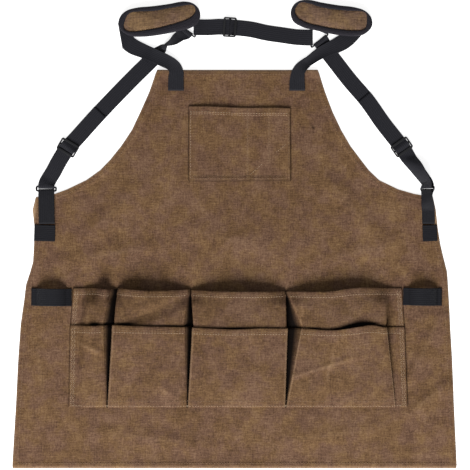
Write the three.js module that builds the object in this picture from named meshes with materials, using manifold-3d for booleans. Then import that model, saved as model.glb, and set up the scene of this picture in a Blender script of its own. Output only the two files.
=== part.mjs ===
// A gardening apron lying on its back, front side up: a waxed canvas panel with a bib pocket and two
// tiers of tool pockets, hammer loops, and a cross-back harness of webbing with shoulder pads, sliders
// and metal rings. Millimetres, X to the right, Y towards the neck, Z up from the surface it lies on.

import * as THREE from 'three';
import { mergeVertices } from 'three/addons/utils/BufferGeometryUtils.js';
import Module from 'manifold-3d';

const wasm = await Module();
wasm.setup();

// Cloth and webbing
const clearance = 0.3;
const clothThickness = 1.6;
const hemThickness = 2.6;
const hemWidth = 9;
const webbingWidth = 25;
const webbingThickness = 1.3;

// Body panel
const panelWidth = 700;
const panelHeight = 627;
const panelRowSpacing = 32;

// Bib pocket
const bibPocketWidth = 160;
const bibPocketHeight = 117;
const bibPocketDrop = 57;
const bibPocketAside = 8;
const bibPocketProud = 8;
const bibPocketFlange = 4;
const bibPocketEdgeCrown = 0.72;
const stitchValleyWidth = 1.2;
const stitchValleyReach = 7;

// Waist pockets, two tiers on the same seams
const pocketStripWidth = 534;
const pocketStripRise = 96;
const pocketStripAside = 5.8;
const upperPocketHeight = 185;
const lowerPocketHeight = 126;
const upperPocketProud = 14;
const lowerPocketProud = 8;
const pocketFlange = 11;
const pocketRamp = 14;
const pocketFootGap = 4.6;
const pocketFootLift = 0.4;
const flangeEase = 0.6;
const lipEase = 5;
const pocketEdgeCrown = 0.8;
const pocketRoundness = 0.55;

// Hammer loops
const hammerLoopDrop = 1;
const hammerLoopInset = 10;
const hammerLoopProud = 13;
const hammerLoopFoot = 8;
const hammerLoopRoundness = 0.6;

// Harness
const strapSpacing = 15;
const twistSpacing = 7;
const bibStrapSpacing = 8;
const bibStrapSewn = 32;
const bibStrapFoldTail = 30;
const bibStrapFoldRun = 17;
const bibStrapLeavesHem = 6;
const bibStrapLands = 17;
const foldBulge = 0.8;
const foldLean = 10.2;
const padLength = 130;
const padWidth = 47;
const padRise = 62.7;
const padRimThickness = 5;
const padCrown = 4;
const padShoulder = 3;
const padShoulderCrown = 2.2;
const padFlatShare = 0.6;
const padEdgePoints = 28;
const padLowEnd = 3.5;
const padHighEnd = 7;
const bindingWidth = 9.5;
const bindingThickness = 1;
const sliderBar = 3.5;
const sliderSlot = 5.25;
const sliderRail = 2;
const sliderSideRoom = 1;
const sliderCornerRadius = 3;
const sliderBarThickness = 2.2;
const sliderMiddleTop = 3;
const sideRingWire = 3;
const sideRingPitch = 12;
const backRingWire = 2.5;
const backSliderPlace = 54.5;
const sideStrapTail = 88;
const sideStrapTopTail = 5;
const squareRun = 9;
const barDescent = 9;
const backStrapEndTail = 16;
const backStrapClimb = 6;
const sideRingCornerRadius = 4;
const backRingCornerRadius = 1.8;
const backRingSlant = 38;
const patchLength = 32;
const patchHeight = 26;
const sideTabLength = 52;
const tabBarRun = 1;
const tabLowerClimb = 4;
const tabUpperDescent = 6;
const waistCorner = 0.681;

// Looks of the six materials
const canvasLook = { color: 0x7a5a3c, roughness: 0.85, metalness: 0 };
const padLook = { color: 0x7d5c3d, roughness: 0.85, metalness: 0 };
const webbingLook = { color: 0x1d1c22, roughness: 0.8, metalness: 0 };
const bindingLook = { color: 0x1f1b20, roughness: 0.75, metalness: 0 };
const plasticLook = { color: 0x131315, roughness: 0.45, metalness: 0 };
const ringLook = { color: 0x4a4a4e, roughness: 0.3, metalness: 1 };

// Outline of the panel: up is a share of its height, left and right are shares of its half width
const panelOutline = [
  { up: 0.000, left: 1.000, right: 1.000 },
  { up: 0.170, left: 0.982, right: 0.986 },
  { up: 0.271, left: 0.973, right: 0.979 },
  { up: 0.359, left: 0.962, right: 0.970 },
  { up: 0.422, left: 0.946, right: 0.964 },
  { up: 0.460, left: 0.938, right: 0.960 },
  { up: 0.492, left: 0.919, right: 0.956 },
  { up: 0.518, left: 0.906, right: 0.944 },
  { up: 0.560, left: 0.902, right: 0.926 },
  { up: 0.603, left: 0.899, right: 0.914 },
  { up: 0.649, left: 0.908, right: 0.905 },
  { up: 0.681, left: 0.894, right: 0.892 },
  { up: 0.690, left: 0.806, right: 0.804 },
  { up: 0.701, left: 0.752, right: 0.736 },
  { up: 0.724, left: 0.666, right: 0.650 },
  { up: 0.749, left: 0.603, right: 0.603 },
  { up: 0.775, left: 0.558, right: 0.567 },
  { up: 0.810, left: 0.508, right: 0.520 },
  { up: 0.850, left: 0.460, right: 0.478 },
  { up: 0.895, left: 0.422, right: 0.440 },
  { up: 0.945, left: 0.382, right: 0.406 },
  { up: 1.000, left: 0.348, right: 0.375 },
];

// Columns of the panel's grid, as shares of the width between its side hems
const panelColumns = [
  0.015, 0.035, 0.055, 0.08, 0.13, 0.21, 0.29, 0.37, 0.45,
  0.53, 0.61, 0.69, 0.77, 0.86, 0.92, 0.945, 0.965, 0.985,
];

// Soft folds in the open parts of the panel: ends as shares of half width and height,
// breadth as a share of the half width, crest as a share of the hem thickness
const panelFolds = [
  { fromAside: 0.915, fromUp: 0.375, toAside: 0.83, toUp: 0.255, breadth: 0.045, crest: 0.42 },
  { fromAside: 0.925, fromUp: 0.205, toAside: 0.83, toUp: 0.150, breadth: 0.040, crest: 0.36 },
  { fromAside: -0.90, fromUp: 0.300, toAside: -0.87, toUp: 0.180, breadth: 0.045, crest: 0.32 },
  { fromAside: -0.55, fromUp: 0.090, toAside: -0.20, toUp: 0.060, breadth: 0.060, crest: 0.32 },
  { fromAside: 0.25, fromUp: 0.070, toAside: 0.60, toUp: 0.095, breadth: 0.060, crest: 0.32 },
  { fromAside: -0.62, fromUp: 0.610, toAside: -0.45, toUp: 0.700, breadth: 0.070, crest: 0.40 },
  { fromAside: 0.62, fromUp: 0.600, toAside: 0.44, toUp: 0.710, breadth: 0.070, crest: 0.40 },
];

// Bib pocket compartments: from and to are shares of its width, foot is where it opens
const bibCompartments = [
  { from: 0, to: 0.58, foot: 0, swell: 1 },
  { from: 0.58, to: 0.79, foot: 0.15, swell: 0.82 },
  { from: 0.79, to: 1, foot: 0.46, swell: 0.82 },
];

// Seams between the waist pockets: place at the foot, the lower lip and the upper mouth as shares of
// the strip's width, and the open width of the pleat at the lip and at the mouth
const pocketSeams = [
  { foot: 0.000, lip: 0.004, mouth: 0.013, lipGap: 0, mouthGap: 0 },
  { foot: 0.113, lip: 0.118, mouth: 0.136, lipGap: 16, mouthGap: 9 },
  { foot: 0.350, lip: 0.355, mouth: 0.359, lipGap: 14, mouthGap: 2.2 },
  { foot: 0.640, lip: 0.665, mouth: 0.641, lipGap: 24, mouthGap: 1.2 },
  { foot: 1.000, lip: 0.991, mouth: 0.983, lipGap: 0, mouthGap: 0 },
];

// Mouth edges of each waist pocket: rise above the tier's mouth line at its left, middle and right,
// as shares of the tier's height
const upperMouths = [
  { left: 0.010, middle: 0.011, right: 0.010, swell: 0.85 },
  { left: 0.013, middle: -0.011, right: -0.001, swell: 1 },
  { left: -0.006, middle: -0.018, right: -0.018, swell: 1 },
  { left: -0.018, middle: -0.004, right: 0.014, swell: 1 },
];
const lowerMouths = [
  { left: 0.018, middle: 0.022, right: 0.018, swell: 0.9 },
  { left: 0.030, middle: 0.012, right: 0.003, swell: 1 },
  { left: -0.002, middle: -0.026, right: -0.012, swell: 1 },
  { left: -0.011, middle: -0.028, right: 0.026, swell: 1 },
];

// Heights of the grid rows of the two tiers, as shares of each tier's height
const lowerRows = [0, 0.06, 0.16, 0.32, 0.52, 0.74];
const upperRows = [0.78, 0.87];

// Places of the pads: aside from the middle as a share of the panel's width, height above the bib as
// a share of the pads' rise, turn of the long axis in degrees, and the place of the ring's upright
// bar, in from the pad's middle as a share of its length and down from it as a share of its width
const padPlaces = {
  left: { aside: -0.1693, rise: 1.271, turn: 7.4, ringReach: 0.4346, ringDrop: 0.2447 },
  right: { aside: 0.2184, rise: 1.298, turn: -9, ringReach: 0.2462, ringDrop: 0.6255 },
};

// Outline of a pad with its outer end to the left, as shares of its half length and half width
const padOutline = [
  { along: -1.00, aside: 0.00 },
  { along: -0.93, aside: 0.52 },
  { along: -0.76, aside: 0.86 },
  { along: -0.50, aside: 0.97 },
  { along: -0.12, aside: 0.93 },
  { along: 0.28, aside: 0.93 },
  { along: 0.65, aside: 0.96 },
  { along: 0.86, aside: 0.76 },
  { along: 0.98, aside: 0.36 },
  { along: 1.00, aside: -0.12 },
  { along: 0.90, aside: -0.62 },
  { along: 0.66, aside: -0.88 },
  { along: 0.30, aside: -0.97 },
  { along: -0.10, aside: -1.03 },
  { along: -0.48, aside: -0.99 },
  { along: -0.78, aside: -0.80 },
  { along: -0.94, aside: -0.42 },
];

// Places at the sides, as shares of the webbing's width: the ring in from the panel's corner and up from
// it, the sideways lean of the tab, the slider's way from the ring, and the patch in from the edge
const sidePlaces = {
  left: { ringInset: 0.64, ringRise: 0.4, tabSkew: 0.04, sliderPlace: 2.88, patchInset: 0.62 },
  right: { ringInset: 0.38, ringRise: 0.4, tabSkew: -0.04, sliderPlace: 2.88, patchInset: 0.52 },
};

// Bib straps: place on the bib's edge as a share of the panel's width, and where each ends under its
// pad, in from the outer end as a share of the pad's length and down as a share of its width
const bibStrapPlaces = {
  left: { aside: -0.132, underPad: 0.0308, drop: 0.532 },
  right: { aside: 0.1411, underPad: 0.1308, drop: 0.1277 },
};

// Routes of the straps between their two ends: along as a share of the straight way from the first
// end to the second, aside as a share of it to the left of that way
const leftSideRoute = [
  { along: 0.080, aside: 0.024 },
  { along: 0.120, aside: 0.034 },
  { along: 0.195, aside: 0.047 },
  { along: 0.277, aside: 0.047 },
  { along: 0.442, aside: 0.046 },
  { along: 0.670, aside: 0.037 },
  { along: 0.775, aside: 0.030 },
  { along: 0.837, aside: 0.028 },
  { along: 0.893, aside: 0.023 },
  { along: 0.935, aside: 0.010 },
];
const rightSideRoute = [
  { along: 0.075, aside: -0.006 },
  { along: 0.120, aside: -0.009 },
  { along: 0.177, aside: -0.012 },
  { along: 0.243, aside: -0.019 },
  { along: 0.322, aside: -0.017 },
  { along: 0.425, aside: -0.013 },
  { along: 0.579, aside: -0.015 },
  { along: 0.729, aside: -0.003 },
  { along: 0.846, aside: 0.001 },
  { along: 0.925, aside: 0.003 },
];
const leftBibRoute = [
  { along: 0.125, aside: -0.069 },
  { along: 0.239, aside: -0.062 },
  { along: 0.387, aside: -0.032 },
  { along: 0.545, aside: 0.000 },
  { along: 0.765, aside: 0.024 },
];
const rightBibRoute = [
  { along: 0.145, aside: 0.036 },
  { along: 0.250, aside: 0.023 },
  { along: 0.380, aside: 0.000 },
  { along: 0.561, aside: -0.036 },
  { along: 0.731, aside: -0.057 },
  { along: 0.880, aside: -0.044 },
];
const backRoute = [
  { along: 0.126, aside: 0.012 },
  { along: 0.211, aside: 0.024 },
  { along: 0.302, aside: 0.027 },
  { along: 0.384, aside: 0.029 },
  { along: 0.488, aside: 0.025 },
  { along: 0.610, aside: 0.009 },
  { along: 0.761, aside: 0.000 },
  { along: 0.880, aside: -0.006 },
];

// Half turn of the left side strap where it comes out from under the pad, by the way left to its end
// as a share of the webbing's width
const leftStrapTwist = [
  { left: 1.68, turn: 0 },
  { left: 1.44, turn: -95 },
  { left: 1.28, turn: -150 },
  { left: 1.12, turn: -172 },
  { left: 0.88, turn: -180 },
  { left: 0, turn: -180 },
];

const up = new THREE.Vector3(0, 0, 1);
const vector = (x, y, z = 0) => new THREE.Vector3(x, y, z);
const mix = THREE.MathUtils.lerp;
const halfPanel = panelWidth / 2;
const panelTop = clothThickness + clearance;
const hemTop = hemThickness + clearance;
const layerStep = webbingThickness + clearance;
const layerMiddle = (layer) => webbingThickness / 2 + layer * layerStep;
const onHem = hemTop + webbingThickness / 2;
const sliderUnderside = 2 * layerStep;
const sliderLength = 3 * sliderBar + 2 * sliderSlot;
const sliderInnerWidth = webbingWidth + 2 * sliderSideRoom;
const sliderWidth = sliderInnerWidth + 2 * sliderRail;
const sliderHeight = sliderUnderside + sliderBarThickness;

// Middle of a pad, and the middle of its ring's upright bar
const padCentre = ({ aside, rise }) => vector(aside * panelWidth, panelHeight + rise * padRise);
function ringBar(side) {
  const { ringReach, ringDrop } = padPlaces[side];
  const inwards = side === 'left' ? 1 : -1;
  return padCentre(padPlaces[side]).add(vector(inwards * ringReach * padLength, -ringDrop * padWidth));
}

// Value of a named column at a place, straight between the rows of a table
function between(table, place, key, value) {
  const last = table.length - 1;
  if (place <= table[0][key]) return table[0][value];
  if (place >= table[last][key]) return table[last][value];
  const next = table.findIndex((row) => row[key] > place);
  const low = table[next - 1];
  const high = table[next];
  return mix(low[value], high[value], (place - low[key]) / (high[key] - low[key]));
}

// Closed geometry from points and triangles, with its faces turned outwards
function closedGeometry(points, triangles) {
  let volume = 0;
  for (const [a, b, c] of triangles) {
    volume += points[a].dot(points[b].clone().cross(points[c]));
  }
  const geometry = new THREE.BufferGeometry();
  geometry.setAttribute('position', new THREE.Float32BufferAttribute(points.flatMap((p) => p.toArray()), 3));
  geometry.setIndex(triangles.flatMap(([a, b, c]) => (volume > 0 ? [a, b, c] : [a, c, b])));
  geometry.computeVertexNormals();
  return geometry;
}

// Solid wall between an inner and an outer grid of points, joined into a loop if asked
function wallBetween(inner, outer, looped = false) {
  const rows = inner.length;
  const columns = inner[0].length;
  const outerStart = rows * columns;
  const triangles = [];
  const quad = (a, b, c, d) => triangles.push([a, b, c], [a, c, d]);
  for (let i = 0; i < (looped ? rows : rows - 1); i += 1) {
    const here = i * columns;
    const there = ((i + 1) % rows) * columns;
    for (let j = 0; j < columns - 1; j += 1) {
      const [outerHere, outerThere] = [outerStart + here + j, outerStart + there + j];
      quad(outerHere, outerHere + 1, outerThere + 1, outerThere);
      quad(here + j, there + j, there + j + 1, here + j + 1);
    }
    const edge = columns - 1;
    quad(here, outerStart + here, outerStart + there, there);
    quad(here + edge, there + edge, outerStart + there + edge, outerStart + here + edge);
  }
  if (!looped) {
    const end = (rows - 1) * columns;
    for (let j = 0; j < columns - 1; j += 1) {
      quad(j, j + 1, outerStart + j + 1, outerStart + j);
      quad(end + j, outerStart + end + j, outerStart + end + j + 1, end + j + 1);
    }
  }
  return closedGeometry([...inner.flat(), ...outer.flat()], triangles);
}

// Solid closed at both ends from rings of points, the first and last of them shrunk to a point
function domedSolid(lowCentre, rings, highCentre) {
  const count = rings[0].length;
  const triangles = [];
  const points = [lowCentre, ...rings.flat(), highCentre];
  const last = points.length - 1;
  const corner = (ring, k) => 1 + ring * count + (k % count);
  for (let k = 0; k < count; k += 1) {
    triangles.push([0, corner(0, k + 1), corner(0, k)]);
    for (let ring = 0; ring < rings.length - 1; ring += 1) {
      triangles.push([corner(ring, k), corner(ring, k + 1), corner(ring + 1, k + 1)]);
      triangles.push([corner(ring, k), corner(ring + 1, k + 1), corner(ring + 1, k)]);
    }
    triangles.push([last, corner(rings.length - 1, k), corner(rings.length - 1, k + 1)]);
  }
  return closedGeometry(points, triangles);
}

// Closed wire of round section along a flat loop of points
function wireLoop(path, radius, sides = 6) {
  const count = path.length;
  const points = [];
  const triangles = [];
  path.forEach((point, i) => {
    const before = path[(i + count - 1) % count];
    const after = path[(i + 1) % count];
    const outward = after.clone().sub(before).normalize().cross(up);
    for (let k = 0; k < sides; k += 1) {
      const angle = (k / sides) * 2 * Math.PI;
      points.push(point.clone().addScaledVector(outward, radius * Math.cos(angle))
        .addScaledVector(up, radius * Math.sin(angle)));
    }
  });
  for (let i = 0; i < count; i += 1) {
    for (let k = 0; k < sides; k += 1) {
      const corners = [[i, k], [i + 1, k], [i + 1, k + 1], [i, k + 1]]
        .map(([row, side]) => (row % count) * sides + (side % sides));
      triangles.push([corners[0], corners[1], corners[2]], [corners[0], corners[2], corners[3]]);
    }
  }
  return closedGeometry(points, triangles);
}

// Corners of a flat loop rounded by arcs of one radius
function roundedLoop(corners, radius, steps = 3) {
  const count = corners.length;
  return corners.flatMap((corner, i) => {
    const before = corners[(i + count - 1) % count].clone().sub(corner).normalize();
    const after = corners[(i + 1) % count].clone().sub(corner).normalize();
    const halfAngle = before.angleTo(after) / 2;
    const setback = radius / Math.tan(halfAngle);
    const inward = before.clone().add(after).normalize();
    const centre = corner.clone().addScaledVector(inward, radius / Math.sin(halfAngle));
    const start = corner.clone().addScaledVector(before, setback).sub(centre);
    const finish = corner.clone().addScaledVector(after, setback).sub(centre);
    const sweep = start.angleTo(finish) * Math.sign(start.clone().cross(finish).z);
    return Array.from({ length: steps + 1 }, (_, step) => (
      centre.clone().add(start.clone().applyAxisAngle(up, sweep * (step / steps)))));
  });
}

// Left and right edge of the panel at a height
function panelEdges(y) {
  const share = y / panelHeight;
  return {
    left: -halfPanel * between(panelOutline, share, 'up', 'left'),
    right: halfPanel * between(panelOutline, share, 'up', 'right'),
  };
}

// Lift of the panel off the surface by its soft folds
function panelLift(x, y) {
  let lift = 0;
  for (const fold of panelFolds) {
    const from = vector(fold.fromAside * halfPanel, fold.fromUp * panelHeight);
    const to = vector(fold.toAside * halfPanel, fold.toUp * panelHeight);
    const near = new THREE.Line3(from, to).closestPointToPoint(vector(x, y), true, vector(0, 0));
    const distance = near.distanceTo(vector(x, y)) / (fold.breadth * halfPanel);
    if (distance < 1) lift += fold.crest * hemThickness * Math.cos((distance * Math.PI) / 2) ** 2;
  }
  return lift;
}

// Body panel: one cloth with a doubled hem all round
function bodyPanel() {
  const hemEnd = hemWidth + 1;
  const marks = [0, hemWidth, hemEnd, ...panelOutline.slice(1, -1).map((row) => row.up * panelHeight),
    panelHeight - hemEnd, panelHeight - hemWidth, panelHeight];
  const heights = marks.flatMap((mark, i) => {
    const next = marks[i + 1] ?? mark;
    const parts = Math.max(1, Math.ceil((next - mark) / panelRowSpacing));
    return Array.from({ length: next > mark ? parts : 1 }, (_, part) => mix(mark, next, part / parts));
  });
  const under = [];
  const over = [];
  for (const y of heights) {
    const { left, right } = panelEdges(y);
    const inHem = y <= hemWidth || y >= panelHeight - hemWidth;
    const columns = [left, left + hemWidth, left + hemEnd, ...panelColumns.map((share) => (
      mix(left + hemEnd, right - hemEnd, share))),
      right - hemEnd, right - hemWidth, right];
    const edge = columns.length - 2;
    under.push(columns.map((x) => vector(x, y, panelLift(x, y))));
    over.push(columns.map((x, j) => {
      const thickness = inHem || j < 2 || j >= edge ? hemThickness : clothThickness;
      return vector(x, y, panelLift(x, y) + thickness);
    }));
  }
  return wallBetween(under, over);
}

// Outer side of a section line, a wall's thickness away, with square corners kept square
function offsetSection(section, thickness) {
  return section.map((point, i) => {
    const before = section[Math.max(i - 1, 0)];
    const after = section[Math.min(i + 1, section.length - 1)];
    const normals = [[before, point], [point, after]]
      .map(([a, b]) => vector(-(b.z - a.z), b.x - a.x))
      .filter((normal) => normal.length() > 0)
      .map((normal) => normal.normalize());
    const first = normals[0];
    const second = normals[normals.length - 1];
    const joint = first.clone().add(second);
    joint.multiplyScalar(thickness / (1 + first.dot(second)));
    return { ...point, x: point.x + joint.x, z: point.z + joint.y };
  });
}

// Rise of a pocket's face from its foot to its mouth
const pocketRise = (share) => Math.max(share, 0) ** pocketRoundness;

// Wall of a pocket tier from the sections of its inner side
function pocketWall(sections) {
  const inner = sections.map(({ points }) => points.map((p) => vector(p.x, p.y, p.z)));
  const outer = sections.map(({ points, thickness }) => (
    offsetSection(points, thickness).map((p) => vector(p.x, p.y, p.z))));
  return wallBetween(inner, outer);
}

// Bib pocket: one patch, sewn on three sides and along two lines that make the pen slots
function bibPocket() {
  const bottom = panelHeight - bibPocketDrop - bibPocketHeight;
  const left = bibPocketAside - bibPocketWidth / 2;
  const shares = [0.14, 0.32, 0.5, 0.68, 0.86];
  const hemShare = hemWidth / bibPocketHeight;
  const rows = [0, 0.05, 0.15, 0.3, 0.46, 0.62, 0.78, 1 - hemShare - 0.01, 1 - hemShare, 1];
  const sections = rows.map((row) => {
    const y = bottom + row * bibPocketHeight;
    const thickness = row >= 1 - hemShare ? hemThickness : clothThickness;
    const points = [{ x: left, y, z: panelTop }];
    for (const part of bibCompartments) {
      const height = bibPocketProud * part.swell * pocketRise((row - part.foot) / (1 - part.foot)) + 0.01;
      const leftSeam = part.from === 0 ? bibPocketFlange : stitchValleyWidth;
      const rightSeam = part.to === 1 ? bibPocketFlange : stitchValleyWidth;
      const start = left + part.from * bibPocketWidth + leftSeam;
      const end = left + part.to * bibPocketWidth - rightSeam;
      const reach = Math.min(stitchValleyReach, (end - start) / 4);
      points.push({ x: start, y, z: panelTop });
      for (const share of shares) {
        const crown = mix(bibPocketEdgeCrown, 1, Math.sin(share * Math.PI));
        points.push({ x: mix(start + reach / 2, end - reach / 2, share), y, z: panelTop + height * crown });
      }
      points.push({ x: end, y, z: panelTop });
    }
    points.push({ x: left + bibPocketWidth, y, z: panelTop });
    return { points, thickness };
  });
  return pocketWall(sections);
}

// Place and open width of a pocket seam at a height above the foot
function seamAt(seam, height) {
  const start = pocketStripAside - pocketStripWidth / 2;
  const table = [
    { height: 0, place: seam.foot, gap: pocketFootGap },
    { height: lowerPocketHeight, place: seam.lip, gap: Math.max(seam.lipGap, pocketFootGap) },
    { height: lowerPocketHeight + lipEase, place: seam.lip, gap: Math.max(seam.lipGap, pocketFootGap) },
    { height: upperPocketHeight, place: seam.mouth, gap: seam.mouthGap },
  ];
  return {
    x: start + pocketStripWidth * between(table, height, 'height', 'place'),
    gap: between(table, height, 'height', 'gap'),
  };
}

// Height of a mouth edge above its line, curved through its left, middle and right values
function mouthCurve(mouth, share) {
  const side = mix(mouth.left, mouth.right, share);
  return side + 4 * share * (1 - share) * (mouth.middle - (mouth.left + mouth.right) / 2);
}

// One section line of the waist pockets: flanges at both ends, crowned faces, square pleats at the seams
function tierSection(height, thickness, tier) {
  const shares = [0.08, 0.25, 0.5, 0.75, 0.92];
  const points = [];
  const along = height / tier.height;
  tier.mouths.forEach((mouth, pocket) => {
    const seams = [pocketSeams[pocket], pocketSeams[pocket + 1]];
    const level = (share) => height + tier.height * mouthCurve(mouth, share) * along ** 6;
    const [leftSeam, rightSeam] = seams.map((seam) => seamAt(seam, height));
    const first = pocket === 0;
    const last = pocket === tier.mouths.length - 1;
    const start = first ? leftSeam.x + pocketFlange : leftSeam.x + leftSeam.gap / 2 + thickness;
    const end = last ? rightSeam.x - pocketFlange : rightSeam.x - rightSeam.gap / 2 - thickness;
    const add = (x, share, bulge, side) => {
      points.push({ x, share, bulge, side, height: level(share), mouth });
    };
    if (first) {
      add(leftSeam.x, 0, 0, 0);
      add(start, 0, 0, -flangeEase);
    } else {
      add(start, 0, 0, -1);
      add(start, 0, pocketEdgeCrown, -1);
    }
    const crownStart = first ? start + pocketRamp * 0.6 : start;
    const crownEnd = last ? end - pocketRamp * 0.6 : end;
    for (const share of shares) {
      const bulge = mix(pocketEdgeCrown, 1, Math.sin(share * Math.PI));
      add(mix(crownStart, crownEnd, share), share, bulge, 0);
    }
    if (last) {
      add(end, 1, 0, flangeEase);
      add(rightSeam.x, 1, 0, 0);
    } else {
      add(end, 1, pocketEdgeCrown, 1);
      add(end, 1, 0, 1);
    }
  });
  return points;
}

// Height of the upper tier's inner side over the panel at a point of its section
function upperFace(point) {
  const face = upperPocketProud * point.mouth.swell * pocketRise(point.height / upperPocketHeight);
  return panelTop + point.bulge * Math.max(face, pocketFootLift);
}

// Upper tier: the pocket backs that reach from the bottom seam to the higher mouths
function upperPocketStrip() {
  const tier = { height: upperPocketHeight, mouths: upperMouths };
  const lip = lowerPocketHeight;
  const rows = [...lowerRows.map((share) => share * lip), lip - hemWidth - 1, lip, lip + lipEase,
    ...upperRows.map((share) => share * upperPocketHeight),
    upperPocketHeight - hemWidth - 1, upperPocketHeight - hemWidth, upperPocketHeight];
  const sections = rows.map((height) => {
    const thickness = height >= upperPocketHeight - hemWidth ? hemThickness : clothThickness;
    const points = tierSection(height, thickness, tier)
      .map((point) => ({ x: point.x, y: pocketStripRise + point.height, z: upperFace(point) }));
    return { points, thickness };
  });
  return pocketWall(sections);
}

// Lower tier: lies on the upper one and dips into its pleats down to the same seams
function lowerPocketStrip() {
  const tier = { height: lowerPocketHeight, mouths: lowerMouths };
  const lip = lowerPocketHeight;
  const rows = [...lowerRows.map((share) => share * lip), lip - hemWidth - 1, lip - hemWidth, lip];
  const stack = clothThickness + clearance;
  const sections = rows.map((height) => {
    const thickness = height >= lip - hemWidth ? hemThickness : clothThickness;
    const points = tierSection(height, clothThickness, tier).map((point, i) => {
      const upperMouth = upperMouths[lowerMouths.indexOf(point.mouth)];
      const face = lowerPocketProud * point.mouth.swell * pocketRise(height / lip);
      const base = upperFace({ ...point, mouth: upperMouth });
      const lift = point.bulge > 0 ? clearance + point.bulge * Math.max(face, pocketFootLift) : 0;
      return {
        x: point.x + point.side * stack,
        y: pocketStripRise + point.height,
        z: base + stack + lift,
      };
    });
    return { points, thickness };
  });
  return pocketWall(sections);
}

// Flat strap from stations on its middle line, each with an optional turn or a slanted crease
function ribbon(stations, width = webbingWidth, thickness = webbingThickness) {
  const inner = [];
  const outer = [];
  let level = null;
  stations.forEach((station, i) => {
    const before = stations[Math.max(i - 1, 0)].at;
    const after = stations[Math.min(i + 1, stations.length - 1)].at;
    const tangent = after.clone().sub(before).normalize();
    const flat = up.clone().cross(tangent);
    level = level ?? flat.clone();
    if (flat.length() > 0.3) level = flat.multiplyScalar(Math.sign(flat.dot(level)));
    level = level.clone().addScaledVector(tangent, -level.dot(tangent)).normalize();
    const turn = THREE.MathUtils.degToRad(station.turn ?? 0);
    const across = level.clone().applyAxisAngle(tangent, turn);
    const face = station.face ?? tangent.clone().cross(across).normalize();
    const half = (station.crease ?? across.multiplyScalar(width / 2)).clone();
    const corners = (side) => [1, -1].map((edge) => station.at.clone()
      .addScaledVector(half, edge).addScaledVector(face, (side * thickness) / 2));
    inner.push(corners(-1));
    outer.push(corners(1));
  });
  return wallBetween(inner, outer);
}

// Smooth flat route between two ends, through a table of shares, square to the bars it leaves and meets
function route(start, end, table, leaving, meeting) {
  const way = end.clone().sub(start);
  const aside = vector(-way.y, way.x);
  const inner = table.map((row) => (
    start.clone().addScaledVector(way, row.along).addScaledVector(aside, row.aside)));
  if (leaving) inner.unshift(start.clone().addScaledVector(leaving, squareRun));
  if (meeting) inner.push(end.clone().addScaledVector(meeting, -squareRun));
  return new THREE.CatmullRomCurve3([start, ...inner, end], false, 'centripetal');
}

// Stations along a route, at every mark of a height table and often enough between them
function strapLayer(curve, heights, turns = [], spacing = strapSpacing) {
  const length = curve.getLength();
  const marks = [...heights.map((row) => row.way), ...turns.map((row) => row.way)].sort((a, b) => a - b);
  const kept = marks.filter((mark, i) => i === 0 || mark - marks[i - 1] > 0.05);
  const ways = kept.flatMap((mark, i) => {
    const next = kept[i + 1];
    if (next === undefined) return [mark];
    const parts = Math.max(1, Math.ceil((next - mark) / spacing));
    return Array.from({ length: parts }, (_, part) => mix(mark, next, part / parts));
  });
  return ways.map((way) => {
    const at = curve.getPointAt(THREE.MathUtils.clamp(way / length, 0, 1));
    const turn = turns.length ? between(turns, way, 'way', 'turn') : 0;
    const standing = Math.abs(Math.sin(THREE.MathUtils.degToRad(turn))) * (webbingWidth / 2);
    at.z = between(heights, way, 'way', 'z') + standing;
    return { at, turn };
  });
}

// Stations of a strap's half turn round a ring bar, from its upper side to its lower side
function barWrap(curve, way, outwardSign, wire) {
  const length = curve.getLength();
  const share = THREE.MathUtils.clamp(way / length, 0, 1);
  const centre = curve.getPointAt(share);
  centre.z = barHeight(wire);
  const outward = curve.getTangentAt(share).multiplyScalar(outwardSign);
  const radius = wrapRadius(wire);
  return [30, 60, 90, 120, 150].map((degrees) => {
    const angle = THREE.MathUtils.degToRad(degrees);
    const at = centre.clone().addScaledVector(outward, radius * Math.sin(angle));
    at.z += radius * Math.cos(angle);
    return { at };
  });
}

// Height of a ring's bar with one strap layer below it, and the strap's middle line round the bar
const barHeight = (wire) => webbingThickness + clearance + wire / 2;
const wrapRadius = (wire) => wire / 2 + clearance + webbingThickness / 2;
const overBar = (wire) => barHeight(wire) + wrapRadius(wire);

// Heights of a layer that rises over the slider's low middle bar
function sliderHump(place, layer) {
  const flat = layerMiddle(layer);
  const raised = flat + sliderMiddleTop + clearance;
  const slotEnd = sliderBar / 2 + sliderSlot - 3 * clearance;
  return [
    { way: place - slotEnd, z: flat },
    { way: place - sliderBar / 2 - clearance, z: raised },
    { way: place + sliderBar / 2 + clearance, z: raised },
    { way: place + slotEnd, z: flat },
  ];
}

// Solid of the boolean library from a closed geometry
function toSolid(geometry) {
  const plain = geometry.clone();
  plain.deleteAttribute('normal');
  plain.deleteAttribute('uv');
  const merged = mergeVertices(plain);
  const vertProperties = merged.attributes.position.array;
  const triVerts = new Uint32Array(merged.index.array);
  return new wasm.Manifold(new wasm.Mesh({ numProp: 3, vertProperties, triVerts }));
}

// Box as a solid, from its lowest and highest corner
function boxSolid(low, high) {
  const size = high.map((value, axis) => value - low[axis]);
  const box = new THREE.BoxGeometry(...size);
  box.translate(...high.map((value, axis) => (value + low[axis]) / 2));
  return toSolid(box);
}

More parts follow.
